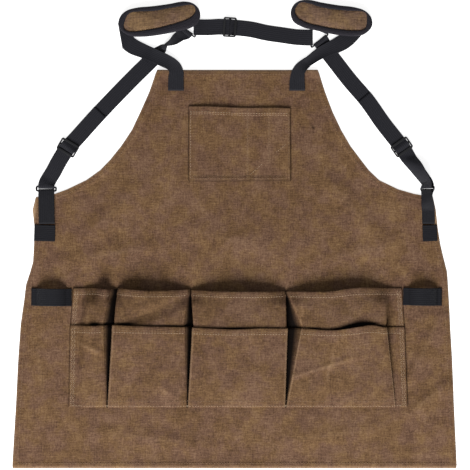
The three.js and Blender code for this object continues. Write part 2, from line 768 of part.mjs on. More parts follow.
// Three-bar slider: high outer bars over the webbing, a low middle bar under it
function sliderGeometry() {
  const x = sliderLength / 2;
  const y = sliderWidth / 2;
  const corners = [vector(-x, -y), vector(x, -y), vector(x, y), vector(-x, y)];
  const outline = roundedLoop(corners, sliderCornerRadius, 4);
  const shape = new THREE.Shape(outline.map((p) => new THREE.Vector2(p.x, p.y)));
  let solid = toSolid(new THREE.ExtrudeGeometry(shape, { depth: sliderHeight, bevelEnabled: false }));
  const inner = sliderInnerWidth / 2;
  const middle = sliderBar / 2;
  const slot = middle + sliderSlot;
  const far = 2 * sliderWidth;
  const middleUnderside = sliderMiddleTop - sliderBarThickness;
  const cuts = [
    [[-far, -inner, -far], [-slot, inner, sliderUnderside]],
    [[-slot, -inner, -far], [-middle, inner, far]],
    [[-middle, -inner, sliderMiddleTop], [middle, inner, far]],
    [[-middle, -inner, -far], [middle, inner, middleUnderside]],
    [[middle, -inner, -far], [slot, inner, far]],
    [[slot, -inner, -far], [far, inner, sliderUnderside]],
  ];
  for (const [low, high] of cuts) {
    solid = solid.subtract(boxSolid(low, high));
  }
  const mesh = solid.getMesh();
  const geometry = new THREE.BufferGeometry();
  geometry.setAttribute('position', new THREE.Float32BufferAttribute(Array.from(mesh.vertProperties), 3));
  geometry.setIndex(Array.from(mesh.triVerts));
  geometry.computeVertexNormals();
  return geometry;
}

// Shoulder pads

// Outline of a pad drawn in from its edge, in the apron's frame
function padLoop(side, inset, shrink = 1) {
  const place = padPlaces[side];
  const flip = side === 'left' ? 1 : -1;
  const centre = padCentre(place);
  const corners = padOutline.map((row) => vector(flip * row.along * padLength / 2, row.aside * padWidth / 2));
  const curve = new THREE.CatmullRomCurve3(corners, true, 'centripetal');
  return Array.from({ length: padEdgePoints }, (_, i) => {
    const share = i / padEdgePoints;
    const point = curve.getPointAt(share);
    const inward = up.clone().cross(curve.getTangentAt(share)).multiplyScalar(-flip);
    point.addScaledVector(inward, inset).multiplyScalar(shrink);
    const along = flip * point.x / (padLength / 2);
    point.applyAxisAngle(up, THREE.MathUtils.degToRad(place.turn)).add(centre);
    return { point, base: mix(padLowEnd, padHighEnd, (along + 1) / 2) };
  });
}

// Loop of a pad at a height over its slightly sloping base
const padRing = (side, inset, height, shrink = 1) => padLoop(side, inset, shrink)
  .map(({ point, base }) => vector(point.x, point.y, base + height));

// Pad body: flat rim that the binding holds, crowned face
function shoulderPad(side) {
  const low = bindingThickness + clearance;
  const high = low + padRimThickness;
  const inset = bindingThickness + clearance;
  const rings = [
    padRing(side, inset, low),
    padRing(side, inset, high),
    padRing(side, bindingWidth + clearance, high),
    padRing(side, bindingWidth + padShoulder, high + padShoulderCrown),
    padRing(side, bindingWidth, high + padCrown, padFlatShare),
  ];
  const middle = (ring) => ring.reduce((sum, p) => sum.add(p), vector(0, 0)).divideScalar(ring.length);
  return domedSolid(middle(rings[0]), rings, middle(rings[4]));
}

// Binding: a U-shaped tape folded over the rim of the pad
function padBinding(side) {
  const low = bindingThickness;
  const high = low + padRimThickness + 2 * clearance;
  const inner = [
    padRing(side, bindingWidth, high), padRing(side, bindingThickness, high),
    padRing(side, bindingThickness, low), padRing(side, bindingWidth, low),
  ];
  const outer = [
    padRing(side, bindingWidth, high + bindingThickness), padRing(side, 0, high + bindingThickness),
    padRing(side, 0, 0), padRing(side, bindingWidth, 0),
  ];
  const columns = (rings) => rings[0].map((_, i) => rings.map((ring) => ring[i]));
  return wallBetween(columns(inner), columns(outer), true);
}

// Ring and strap places that the harness is laid between

// Triangular ring that joins a pad to the back strap and, on its slanted bar, to the side strap
function backRing(side) {
  const flip = side === 'left' ? 1 : -1;
  const angle = THREE.MathUtils.degToRad(backRingSlant);
  const cornerAngle = Math.PI / 2 - angle;
  const setback = backRingCornerRadius / Math.tan(cornerAngle / 2);
  const half = webbingWidth / 2 + setback + clearance;
  const wrap = wrapRadius(backRingWire) + webbingThickness / 2;
  const slantStart = (wrap * (1 + Math.cos(cornerAngle)) + clearance) / Math.sin(cornerAngle);
  const bar = ringBar(side);
  const foot = bar.clone().add(vector(0, -half));
  const head = bar.clone().add(vector(0, half));
  const slant = vector(-flip * Math.cos(angle), Math.sin(angle));
  const far = foot.clone().addScaledVector(slant, slantStart + webbingWidth + setback + clearance);
  const slantMiddle = foot.clone().addScaledVector(slant, slantStart + webbingWidth / 2);
  const slantInward = vector(flip * Math.sin(angle), Math.cos(angle));
  const shape = { corners: [foot, head, far], wire: backRingWire, cornerRadius: backRingCornerRadius };
  return { ...shape, bar, slantMiddle, slantInward };
}

// Side ring: a rectangle between the side strap and the tab on the panel
function sideRing(side) {
  const flip = side === 'left' ? -1 : 1;
  const place = sidePlaces[side];
  const cornerHeight = waistCorner * panelHeight;
  const corner = vector(panelEdges(cornerHeight)[side], cornerHeight);
  const inset = place.ringInset * webbingWidth;
  const tabBar = corner.clone().add(vector(-flip * inset, place.ringRise * webbingWidth));
  const strapBar = tabBar.clone().add(vector(0, sideRingPitch));
  const half = webbingWidth / 2 + sideRingCornerRadius + clearance;
  const corners = [
    tabBar.clone().add(vector(-half, 0)), tabBar.clone().add(vector(half, 0)),
    strapBar.clone().add(vector(half, 0)), strapBar.clone().add(vector(-half, 0)),
  ];
  return { corners, wire: sideRingWire, cornerRadius: sideRingCornerRadius, tabBar, strapBar };
}

// Ring lifted to the height where its bars lie on one layer of webbing
function ringGeometry({ corners, wire, cornerRadius }) {
  const geometry = wireLoop(roundedLoop(corners, cornerRadius), wire / 2);
  geometry.translate(0, 0, barHeight(wire));
  return geometry;
}

// Layer that lies over a bar and comes down onto the layer below it
function layerOverBar(end, wire, extra = []) {
  const stacked = layerMiddle(1);
  const rows = [{ way: 0, z: overBar(wire) }, { way: wire, z: overBar(wire) }];
  const landing = wire + barDescent;
  if (end > landing) rows.push({ way: landing, z: stacked }, ...extra, { way: end, z: stacked });
  else rows.push({ way: end, z: mix(overBar(wire), stacked, (end - wire) / barDescent) });
  return rows;
}

const sideCurves = Object.fromEntries(['left', 'right'].map((side) => {
  const table = side === 'left' ? leftSideRoute : rightSideRoute;
  const { slantMiddle, slantInward } = backRing(side);
  return [side, route(sideRing(side).strapBar, slantMiddle, table, vector(0, 1), slantInward)];
}));
const backCurve = route(backRing('left').bar, backRing('right').bar, backRoute, vector(1, 0), vector(1, 0));

const sliderWay = (side) => sidePlaces[side].sliderPlace * webbingWidth;

// Side strap: tail on top, round the side ring, through the slider, up to the pad's ring
function sideStrap(side) {
  const curve = sideCurves[side];
  const length = curve.getLength();
  const slider = sliderWay(side);
  const tail = layerOverBar(sideStrapTail + slider, sideRingWire, sliderHump(slider, 1));
  const flat = layerMiddle(0);
  const main = [{ way: 0, z: flat }, ...sliderHump(slider, 0)];
  const turns = [{ way: 0, turn: 0 }];
  if (side === 'left') {
    turns.push(...leftStrapTwist
      .map((row) => ({ way: length - row.left * webbingWidth, turn: row.turn })));
  } else {
    turns.push({ way: length, turn: 0 });
  }
  main.push({ way: length, z: flat });
  const topTail = layerOverBar(sideStrapTopTail, backRingWire)
    .map((row) => ({ ...row, way: length - row.way }));
  const finalTurn = turns[turns.length - 1].turn;
  const turned = (stations) => stations.map((station) => ({ ...station, turn: finalTurn }));
  return ribbon([
    ...strapLayer(curve, tail).reverse(),
    ...barWrap(curve, 0, -1, sideRingWire),
    ...strapLayer(curve, main, turns, side === 'left' ? twistSpacing : strapSpacing),
    ...turned(barWrap(curve, length, 1, backRingWire).reverse()),
    ...turned(strapLayer(curve, topTail.reverse()).reverse()),
  ]);
}

// Back strap: doubled from the left ring to its slider, single from there to the right ring
function backStrap() {
  const length = backCurve.getLength();
  const tail = layerOverBar(backSliderPlace, backRingWire, sliderHump(backSliderPlace, 1).slice(0, 2));
  tail[tail.length - 1].z = tail[tail.length - 2].z;
  const under = length - backStrapEndTail;
  const main = [
    { way: 0, z: layerMiddle(0) }, ...sliderHump(backSliderPlace, 0),
    { way: under - 1 - backStrapClimb, z: layerMiddle(0) }, { way: under - 1, z: layerMiddle(1) },
    { way: length - backRingWire - backStrapClimb, z: layerMiddle(1) },
    { way: length - backRingWire / 2, z: overBar(backRingWire) }, { way: length, z: overBar(backRingWire) },
  ];
  const endTail = [{ way: under, z: layerMiddle(0) }, { way: length, z: layerMiddle(0) }];
  return ribbon([
    ...strapLayer(backCurve, tail).reverse(),
    ...barWrap(backCurve, 0, -1, backRingWire),
    ...strapLayer(backCurve, main),
    ...barWrap(backCurve, length, 1, backRingWire),
    ...strapLayer(backCurve, endTail).reverse(),
  ]);
}

// Bib strap: sewn to the bib's top hem, over the side strap and under the pad's outer end
function bibStrap(side) {
  const { aside, underPad, drop } = bibStrapPlaces[side];
  const start = vector(aside * panelWidth, panelHeight);
  const outwards = side === 'left' ? -1 : 1;
  const end = padCentre(padPlaces[side])
    .add(vector(outwards * (0.5 - underPad) * padLength, -drop * padWidth));
  const curve = route(start, end, side === 'left' ? leftBibRoute : rightBibRoute, vector(0, 1));
  const sewn = [vector(start.x, start.y - bibStrapSewn), vector(start.x, start.y - 1)]
    .map((at) => ({ at: at.setZ(onHem) }));
  const length = curve.getLength();
  const fold = side === 'left' ? bibStrapFoldRun : 0;
  const heights = [
    { way: bibStrapLeavesHem, z: onHem }, { way: bibStrapLands, z: layerMiddle(1) },
    { way: length - fold, z: layerMiddle(1) },
  ];
  const stations = [...sewn, ...strapLayer(curve, heights, [], bibStrapSpacing)];
  if (side === 'left') stations.push(...padFold(curve));
  return ribbon(stations);
}

// Flat slanted fold at the end of the left bib strap, with its short tail under the pad
function padFold(curve) {
  const end = curve.getPointAt(1);
  const into = curve.getTangentAt(1);
  const line = vector(0, -1).applyAxisAngle(up, THREE.MathUtils.degToRad(foldLean));
  const cosine = line.dot(into);
  const outOf = line.clone().multiplyScalar(2 * cosine).sub(into);
  const crease = line.clone().multiplyScalar(webbingWidth / 2 / Math.sqrt(1 - cosine * cosine));
  const outward = into.clone().sub(outOf).normalize();
  const middle = (layerMiddle(0) + layerMiddle(1)) / 2;
  const place = (point, z) => vector(point.x, point.y, z);
  const upper = place(end.clone().addScaledVector(into, -1), layerMiddle(1));
  const bend = place(end.clone().addScaledVector(outward, foldBulge), middle);
  const lower = place(end.clone().addScaledVector(outOf, 1), layerMiddle(0));
  crease.multiplyScalar(Math.sign(up.clone().cross(into).dot(crease)));
  const square = up.clone().cross(outOf).multiplyScalar(webbingWidth / 2);
  square.multiplyScalar(Math.sign(square.dot(crease)));
  const under = { crease: square, face: up.clone().negate() };
  return [
    { at: upper, crease: crease.clone(), face: up.clone() },
    { at: bend, crease: crease.clone(), face: outward },
    { at: lower, crease: crease.clone(), face: up.clone().negate() },
    { at: place(end.clone().addScaledVector(outOf, bibStrapFoldRun), layerMiddle(0)), ...under },
    { at: place(end.clone().addScaledVector(outOf, bibStrapFoldTail), layerMiddle(0)), ...under },
  ];
}

// Tab: webbing round the side ring, both layers sewn to the front of the panel
function sideTab(side) {
  const { tabBar } = sideRing(side);
  const end = tabBar.clone().add(vector(sidePlaces[side].tabSkew * webbingWidth, -sideTabLength));
  const curve = new THREE.LineCurve3(tabBar, end);
  const length = curve.getLength();
  const lower = [
    { way: 0, z: layerMiddle(0) }, { way: tabBarRun, z: layerMiddle(0) },
    { way: tabBarRun + tabLowerClimb, z: onHem }, { way: length, z: onHem },
  ];
  const upper = [
    { way: 0, z: overBar(sideRingWire) }, { way: tabBarRun, z: overBar(sideRingWire) },
    { way: tabBarRun + tabUpperDescent, z: onHem + layerStep }, { way: length, z: onHem + layerStep },
  ];
  return ribbon([
    ...strapLayer(curve, upper, [], sideTabLength).reverse(),
    ...barWrap(curve, 0, -1, sideRingWire),
    ...strapLayer(curve, lower, [], sideTabLength),
  ]);
}

// Patch: a short flat piece of webbing below the tab
function sidePatch(side) {
  const flip = side === 'left' ? -1 : 1;
  const { tabBar } = sideRing(side);
  const y = tabBar.y - sideTabLength - clothThickness - patchHeight / 2;
  const x = panelEdges(y)[side] - flip * sidePlaces[side].patchInset * webbingWidth;
  const ends = [vector(x - patchLength / 2, y, onHem), vector(x + patchLength / 2, y, onHem)];
  return ribbon(ends.map((at) => ({ at })), patchHeight);
}

// Hammer loop: webbing that stands off the panel between its side hem and the pocket strip
function hammerLoop(side) {
  const y = pocketStripRise + upperPocketHeight - hammerLoopDrop - webbingWidth / 2;
  const seam = pocketSeams[side === 'left' ? 0 : pocketSeams.length - 1];
  const inner = seamAt(seam, y - webbingWidth / 2 - pocketStripRise).x;
  const outer = panelEdges(y)[side];
  const flip = side === 'left' ? 1 : -1;
  const start = outer + flip * hammerLoopInset;
  const end = inner - flip * 2 * clearance;
  const span = Math.abs(end - start) - 2 * hammerLoopFoot;
  const arch = [0, 0.12, 0.3, 0.5, 0.7, 0.88, 1].map((share) => {
    const proud = hammerLoopProud * Math.sin(share * Math.PI) ** hammerLoopRoundness;
    return { at: vector(start + flip * (hammerLoopFoot + share * span), y, onHem + proud) };
  });
  return ribbon([{ at: vector(start, y, onHem) }, ...arch, { at: vector(end, y, onHem) }]);
}

// Assembly

const apron = new THREE.Group();

// Mesh of one named piece, added to the apron
function addPiece(name, geometry, look) {
  const mesh = new THREE.Mesh(geometry, new THREE.MeshStandardMaterial(look));
  mesh.name = name;
  apron.add(mesh);
  return mesh;
}

// Slider threaded on a strap's route
function addSlider(name, curve, way) {
  const mesh = addPiece(name, sliderGeometry(), plasticLook);
  const share = way / curve.getLength();
  const tangent = curve.getTangentAt(share);
  mesh.position.copy(curve.getPointAt(share)).setZ(0);
  mesh.rotation.z = Math.atan2(tangent.y, tangent.x);
}

addPiece('body_panel', bodyPanel(), canvasLook);
addPiece('bib_pocket', bibPocket(), canvasLook);
addPiece('upper_pocket_strip', upperPocketStrip(), canvasLook);
addPiece('lower_pocket_strip', lowerPocketStrip(), canvasLook);
for (const side of ['left', 'right']) {
  addPiece(`hammer_loop_${side}`, hammerLoop(side), webbingLook);
  addPiece(`side_tab_${side}`, sideTab(side), webbingLook);
  addPiece(`side_patch_${side}`, sidePatch(side), webbingLook);
  addPiece(`side_ring_${side}`, ringGeometry(sideRing(side)), ringLook);
  addPiece(`side_strap_${side}`, sideStrap(side), webbingLook);
  addSlider(`side_slider_${side}`, sideCurves[side], sliderWay(side));
  addPiece(`bib_strap_${side}`, bibStrap(side), webbingLook);
  addPiece(`shoulder_pad_${side}`, shoulderPad(side), padLook);
  addPiece(`pad_binding_${side}`, padBinding(side), bindingLook);
  addPiece(`back_ring_${side}`, ringGeometry(backRing(side)), ringLook);
}
addPiece('back_strap', backStrap(), webbingLook);
addSlider('back_slider', backCurve, backSliderPlace);

// The apron's frame has its origin under the middle of its box, on the surface it lies on
const extent = new THREE.Box3().setFromObject(apron);
const middle = extent.getCenter(new THREE.Vector3());
apron.position.set(-middle.x, -middle.y, -extent.min.z);

export default apron;
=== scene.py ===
"""Dresses a gardening apron: waxed canvas, webbing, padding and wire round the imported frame.

The apron lies on its back, front side up. Lengths are millimetres in its own flat layout, X to the right
and Y up from the hem, and are turned to metres in the frame when a mesh is made.
"""

from __future__ import annotations

import logging
import math
from contextlib import contextmanager
from dataclasses import dataclass, field
from enum import Enum
from typing import Any, Callable, Iterator, Sequence

import bpy
import numpy as np
from mathutils import Matrix, Vector

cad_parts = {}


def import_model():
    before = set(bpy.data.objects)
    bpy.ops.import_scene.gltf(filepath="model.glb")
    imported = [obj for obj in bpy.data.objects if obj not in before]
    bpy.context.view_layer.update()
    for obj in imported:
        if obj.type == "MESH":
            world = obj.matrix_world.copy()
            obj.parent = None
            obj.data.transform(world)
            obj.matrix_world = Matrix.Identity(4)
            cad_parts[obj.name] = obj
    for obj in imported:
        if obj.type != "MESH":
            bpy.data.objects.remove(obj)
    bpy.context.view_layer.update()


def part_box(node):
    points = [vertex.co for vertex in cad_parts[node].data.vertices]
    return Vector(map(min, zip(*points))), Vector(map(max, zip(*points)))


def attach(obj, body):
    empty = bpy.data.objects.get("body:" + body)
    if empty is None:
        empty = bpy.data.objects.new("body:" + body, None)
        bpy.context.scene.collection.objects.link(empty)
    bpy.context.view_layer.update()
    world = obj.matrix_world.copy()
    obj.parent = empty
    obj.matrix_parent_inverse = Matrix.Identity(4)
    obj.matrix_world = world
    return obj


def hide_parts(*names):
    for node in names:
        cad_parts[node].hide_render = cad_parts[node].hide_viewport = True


LOG = logging.getLogger("apron")
MM = 0.001
WEBBING_WIDTH = 25.0
WEBBING_THICKNESS = 1.3
CLEARANCE = 0.3
CLOTH = 1.6
HEM = 2.6
HEM_WIDTH = 9.0
LAYER_STEP = WEBBING_THICKNESS + CLEARANCE
STATION_SPACING = 2.6
ROUTE_STEPS = 24
WAVE_RADIANS = 20.0
PANEL_WIDTH = 700.0
PANEL_HEIGHT = 627.0
PANEL_TOP = CLOTH + CLEARANCE
HEM_TOP = HEM + CLEARANCE
PAD_LENGTH = 130.0
PAD_WIDTH = 47.0
ON_HEM = HEM_TOP + WEBBING_THICKNESS / 2 + 0.9

UP = np.array([0.0, 0.0, 1.0])

Points = np.ndarray
Socket = bpy.types.NodeSocket
Material = bpy.types.Material
Heights = Sequence[tuple[float, float]]


class Side(Enum):
    """Left or right half of the apron, as seen from above, with the sign of its X."""

    LEFT = -1
    RIGHT = 1

    @property
    def word(self) -> str:
        """Ending of a node's name on this side."""
        return self.name.lower()


class Slot(Enum):
    """Material slots of the record."""

    CANVAS = "canvas"
    PAD = "pad_canvas"
    WEBBING = "webbing"
    BINDING = "binding"
    PLASTIC = "slider_plastic"
    WIRE = "ring_wire"


def by_side(left: Any, right: Any) -> Any:
    """Field of a dataclass with a value for each side."""
    return field(default_factory=lambda: {Side.LEFT: left, Side.RIGHT: right})


def linear(hex_colour: str) -> tuple[float, float, float, float]:
    """Turns an sRGB hex colour to linear light.

    Args:
        hex_colour: Six hex digits after a hash sign.

    Returns:
        Red, green, blue and alpha.
    """
    parts = [int(hex_colour[i:i + 2], 16) / 255 for i in (1, 3, 5)]
    red, green, blue = [c / 12.92 if c <= 0.04045 else ((c + 0.055) / 1.055) ** 2.4 for c in parts]
    return red, green, blue, 1.0


def add_node(tree: bpy.types.NodeTree, kind: str, inputs: dict | None = None, **settings) -> bpy.types.Node:
    """Adds a shader node with its settings, values and links.

    Args:
        tree: Node tree that gets the node.
        kind: Blender's name of the node type.
        inputs: Socket name or number to a value or to an output socket.
        settings: Properties of the node itself.

    Returns:
        The new node.
    """
    node = tree.nodes.new(kind)
    for name, value in settings.items():
        setattr(node, name, value)
    for name, value in (inputs or {}).items():
        socket = node.inputs[name]
        if isinstance(value, Socket):
            tree.links.new(value, socket)
        else:
            socket.default_value = value
    return node


class Shading:
    """A material in the making, with short steps for the nodes of its finish."""

    def __init__(self, name: str) -> None:
        """Starts the material with Blender's own shader."""
        self.material = bpy.data.materials.new(name)
        self.material.use_nodes = True
        self.tree = self.material.node_tree
        self.shader = self.tree.nodes["Principled BSDF"]

    def link(self, socket: Socket, name: str) -> None:
        """Feeds one of the shader's inputs."""
        self.tree.links.new(socket, self.shader.inputs[name])

    def place(self) -> Socket:
        """Place on the object, in metres."""
        return add_node(self.tree, "ShaderNodeTexCoord").outputs["Object"]

    def noise(self, place: Socket, scale: float, detail: float, rough: float = 0.5, distortion: float = 0.0
              ) -> Socket:
        """Noise from 0 to 1, its scale in waves per unit of the place."""
        made = add_node(self.tree, "ShaderNodeTexNoise", {
            "Vector": place, "Scale": scale, "Detail": detail, "Roughness": rough, "Distortion": distortion})
        return made.outputs["Fac"]

    def arithmetic(self, operation: str, *values: Socket | float) -> Socket:
        """One step of arithmetic on sockets and numbers."""
        return add_node(self.tree, "ShaderNodeMath", dict(enumerate(values)), operation=operation).outputs[0]

    def spread(self, value: Socket, low: float, high: float) -> Socket:
        """Share of the way from a low to a high value."""
        made = add_node(self.tree, "ShaderNodeMapRange", {"Value": value, "From Min": low, "From Max": high})
        return made.outputs["Result"]

    def mix(self, factor: Socket | float, first: Any, second: Any, blend: str = "MIX") -> Socket:
        """Blends the second colour into the first by a factor."""
        return add_node(self.tree, "ShaderNodeMix", {"Factor": factor, 6: first, 7: second},
                        data_type="RGBA", clamp_factor=True, blend_type=blend).outputs[2]

    def relief(self, height: Socket, strength: float, depth: float) -> None:
        """Gives the shader a relief, its depth in millimetres."""
        bump = add_node(self.tree, "ShaderNodeBump", {
            "Strength": strength, "Distance": depth * MM, "Height": height})
        self.link(bump.outputs["Normal"], "Normal")


# Finishes


@dataclass(frozen=True)
class WaxedCanvas:
    """Heavy cotton canvas dressed with wax: matt, mottled, with rubbed ochre creases and a coarse weave."""

    name: str
    dark: str = "#4c3829"
    body: str = "#684f3b"
    pale: str = "#82684e"
    rub: str = "#a4876a"
    # deep: dark mixed in where the rub attribute is below 0, used as painted shade
    deep: str = "#0d0705"
    warm: str = "#fffcec"
    cool: str = "#f9f5ff"
    thread_spacing: float = 2.0 * MM
    slub: float = 70.0
    roughness: float = 0.82

    def make(self) -> Material:
        """Builds the material on Object coordinates, as the cloth lies flat in the frame."""
        nodes = Shading(self.name)
        shader = nodes.shader
        place = nodes.place()

        def streaks(along: float, across: float) -> Socket:
            """Slubby threads: noise stretched along one direction of the weave."""
            stretched = add_node(nodes.tree, "ShaderNodeMapping", {
                "Vector": place, "Scale": (along, across, 1.0)})
            return nodes.noise(stretched.outputs["Vector"], 1.0, 2.0)

        def weighed(terms: Sequence[tuple[Socket, float]]) -> Socket:
            """Sum of terms, each by its weight."""
            result: Socket | float = 0.0
            for socket, weight in terms:
                result = nodes.arithmetic("MULTIPLY_ADD", socket, weight, result)
            return result

        # Threads run square to each other, about as coarse as the render can show
        per_metre = 1 / self.thread_spacing
        weft = streaks(self.slub, per_metre)
        warp = streaks(per_metre, self.slub)
        clouds = nodes.noise(place, 7.0, 3.0, 0.55)
        mottle = nodes.noise(place, 42.0, 6.0, 0.68)
        grain = nodes.noise(place, 400.0, 3.0, 0.65)
        tone = weighed([(clouds, 0.45), (mottle, 0.95), (weft, 0.75), (warp, 0.65), (grain, 1.2)])
        share = nodes.arithmetic("MULTIPLY", tone, 0.25)
        ramp = add_node(nodes.tree, "ShaderNodeValToRGB", {"Fac": share})
        stops = ramp.color_ramp.elements
        stops[0].position, stops[0].color = 0.4, linear(self.dark)
        stops[1].position, stops[1].color = 0.61, linear(self.pale)
        stops.new(0.5).color = linear(self.body)

        # Creases where the wax has cracked and rubbed paler: the valleys of a warped noise, masked in patches
        warped = nodes.arithmetic("SUBTRACT", nodes.noise(place, 16.0, 4.0, 0.62, 0.9), 0.5)
        valley = nodes.arithmetic("MULTIPLY", nodes.arithmetic("ABSOLUTE", warped), 42.0)
        line = nodes.arithmetic("MAXIMUM", nodes.arithmetic("SUBTRACT", 1.0, valley), 0.0)
        mask = nodes.spread(nodes.noise(place, 13.0, 2.0, 0.55), 0.5, 0.62)
        patchy = nodes.arithmetic("MULTIPLY", line, mask)
        wear_and_shade = add_node(nodes.tree, "ShaderNodeAttribute", attribute_name="rub").outputs["Fac"]
        crease = nodes.arithmetic("MULTIPLY_ADD", patchy, 0.1, nodes.arithmetic("MAXIMUM", wear_and_shade, 0.0))
        rubbed = nodes.arithmetic("MULTIPLY", crease, nodes.arithmetic("MULTIPLY_ADD", grain, 0.9, 0.55))
        # The dressing took unevenly: ochre patches and others with a faint violet cast
        cast = nodes.spread(nodes.noise(place, 30.0, 5.0, 0.65), 0.42, 0.58)
        tint = nodes.mix(cast, linear(self.warm), linear(self.cool))
        colour = nodes.mix(1.0, ramp.outputs["Color"], tint, "MULTIPLY")
        colour = nodes.mix(rubbed, colour, linear(self.rub))
        # Below 0 the same attribute darkens a place towards the deep colour: painted shade in pleats, gaps
        # and along edges
        colour = nodes.mix(nodes.arithmetic("MULTIPLY", wear_and_shade, -1.0), colour, linear(self.deep))
        nodes.link(colour, "Base Color")

        relief = weighed([(weft, 0.55), (warp, 0.5), (grain, 0.5), (mottle, 0.35), (line, 0.1)])
        nodes.relief(relief, 0.6, 0.9)
        shader.inputs["Roughness"].default_value = self.roughness
        shader.inputs["Specular IOR Level"].default_value = 0.08
        return nodes.material


@dataclass(frozen=True)
class Webbing:
    """Woven polyester webbing: matt near-black with a bluish cast, fine ribs across and a denser edge."""

    name: str
    colour: str = "#18181d"
    pale: str = "#27272d"
    rib: float = 1.6 * MM
    roughness: float = 0.7

    def make(self) -> Material:
        """Builds the material on the strap's own UV map, in metres along and across."""
        nodes = Shading(self.name)
        shader = nodes.shader
        along = add_node(nodes.tree, "ShaderNodeUVMap", uv_map="cloth").outputs["UV"]

        def bands(spacing: float, distortion: float, detail: float, direction: str) -> Socket:
            """Ribs square to a direction, their spacing in metres, from waves of so many radians a unit."""
            return add_node(nodes.tree, "ShaderNodeTexWave", {
                "Vector": along, "Scale": 2 * math.pi / WAVE_RADIANS / spacing, "Distortion": distortion,
                "Detail": detail, "Detail Scale": 2.0}, bands_direction=direction).outputs["Fac"]

        cords = bands(1.9 * self.rib, 0.3, 0.0, "Y")
        weave = nodes.arithmetic("MULTIPLY", bands(self.rib, 0.6, 1.0, "X"), cords)
        relief = nodes.arithmetic("MULTIPLY_ADD", nodes.noise(along, 260.0, 4.0, 0.7), 0.7, weave)
        colour = nodes.mix(nodes.arithmetic("MULTIPLY", relief, 0.6), linear(self.colour), linear(self.pale))
        nodes.link(colour, "Base Color")
        nodes.relief(relief, 0.6, 0.5)
        shader.inputs["Roughness"].default_value = self.roughness
        shader.inputs["Specular IOR Level"].default_value = 0.18
        shader.inputs["Sheen Weight"].default_value = 0.02
        return nodes.material


@dataclass(frozen=True)
class HardFinish:
    """Moulded plastic or plated wire: smooth, with the faint unevenness of moulding or handling."""

    name: str
    colour: str
    metallic: float
    roughness: float
    grain: float = 900.0

    def make(self) -> Material:
        """Builds the material on Object coordinates."""
        nodes = Shading(self.name)
        shader = nodes.shader
        speckle = nodes.noise(nodes.place(), self.grain, 3.0)
        rough = nodes.arithmetic("MULTIPLY_ADD", speckle, 0.18, self.roughness - 0.08)
        nodes.link(rough, "Roughness")
        nodes.relief(speckle, 0.25, 0.1)
        shader.inputs["Base Color"].default_value = linear(self.colour)
        shader.inputs["Metallic"].default_value = self.metallic
        return nodes.material


@dataclass(frozen=True)
class Thread:
    """Spun sewing thread: plain colour with a twist too fine to show, so a soft grain stands for it."""

    name: str
    colour: str
    shade: str

    def make(self) -> Material:
        """Builds the material on Object coordinates."""
        nodes = Shading(self.name)
        shader = nodes.shader
        grain = nodes.noise(nodes.place(), 300.0, 3.0)
        nodes.link(nodes.mix(grain, linear(self.shade), linear(self.colour)), "Base Color")
        shader.inputs["Roughness"].default_value = 0.75
        return nodes.material


class Finishes:
    """All materials of the apron, made once."""

    def __init__(self) -> None:
        """Makes the materials."""
        self.canvas = WaxedCanvas("waxed_canvas").make()
        self.pad = WaxedCanvas("waxed_canvas_pad", dark="#513e31", body="#6d5745", pale="#886e54").make()
        self.webbing = Webbing("black_webbing").make()
        # a darker copy of the same webbing: painted shade for the tabs, patches and loops sewn onto the panel
        self.shaded_webbing = Webbing("black_webbing_painted_shade", colour="#101014", pale="#1c1c22").make()
        self.binding = Webbing("black_binding_tape", colour="#17151b", pale="#2b2830", rib=1.3 * MM).make()
        self.plastic = HardFinish("moulded_black_plastic", "#131316", 0.0, 0.4).make()
        self.wire = HardFinish("black_nickel_wire", "#242428", 1.0, 0.28).make()
        self.beige_thread = Thread("beige_thread", "#bfa98d", "#94795e").make()
        self.brown_thread = Thread("tan_thread", "#957a5e", "#705741").make()


# Meshes


def frame_offset() -> float:
    """Y of the panel's hem in the frame, in millimetres."""
    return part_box("body_panel")[0][1] / MM


def put(name: str, data: Any) -> bpy.types.Object:
    """Makes an object of a mesh, light or camera and puts it in the scene."""
    piece = bpy.data.objects.new(name, data)
    bpy.context.scene.collection.objects.link(piece)
    return piece


def make_piece(name: str, points: Points, faces: Sequence[Sequence[int]], material: Material,
               uv: Points | None = None, rub: Points | None = None) -> bpy.types.Object:
    """Makes a smooth mesh object from layout points.

    Args:
        name: Name of the piece.
        points: Points in millimetres in the layout, one row each.
        faces: Corners of each face.
        material: Finish of the whole piece.
        uv: Place of each point on the cloth, in millimetres along and across.
        rub: How far each point is rubbed pale, or darkened where it is below 0, mostly as painted shade.

    Returns:
        The new object, at the origin, with its place in its mesh.
    """
    placed = (points + np.array([0.0, frame_offset(), 0.0])) * MM
    mesh = bpy.data.meshes.new(name)
    mesh.from_pydata(placed.tolist(), [], [list(face) for face in faces])
    mesh.shade_smooth()
    corners = np.empty(len(mesh.loops), dtype=np.int64)
    mesh.loops.foreach_get("vertex_index", corners)
    if uv is not None:
        layer = mesh.uv_layers.new(name="cloth")
        layer.data.foreach_set("uv", (uv[corners] * MM).astype(np.float32).ravel())
    shade = np.zeros(len(points)) if rub is None else rub
    attribute = mesh.attributes.new("rub", "FLOAT", "POINT")
    attribute.data.foreach_set("value", shade.astype(np.float32))
    mesh.materials.append(material)
    return put(name, mesh)


def unit(vectors: Points) -> Points:
    """One or more vectors brought to a length of 1."""
    return vectors / np.maximum(np.linalg.norm(vectors, axis=-1, keepdims=True), 1e-9)


def ways_along(points: Points) -> Points:
    """Way along a line of points, from 0 at the first."""
    return np.concatenate([[0], np.cumsum(np.linalg.norm(np.diff(points, axis=0), axis=1))])


def grid_normals(grid: Points) -> Points:
    """Unit normals of a grid of points, from its rows and columns."""
    return unit(np.cross(np.gradient(grid, axis=1), np.gradient(grid, axis=0)))


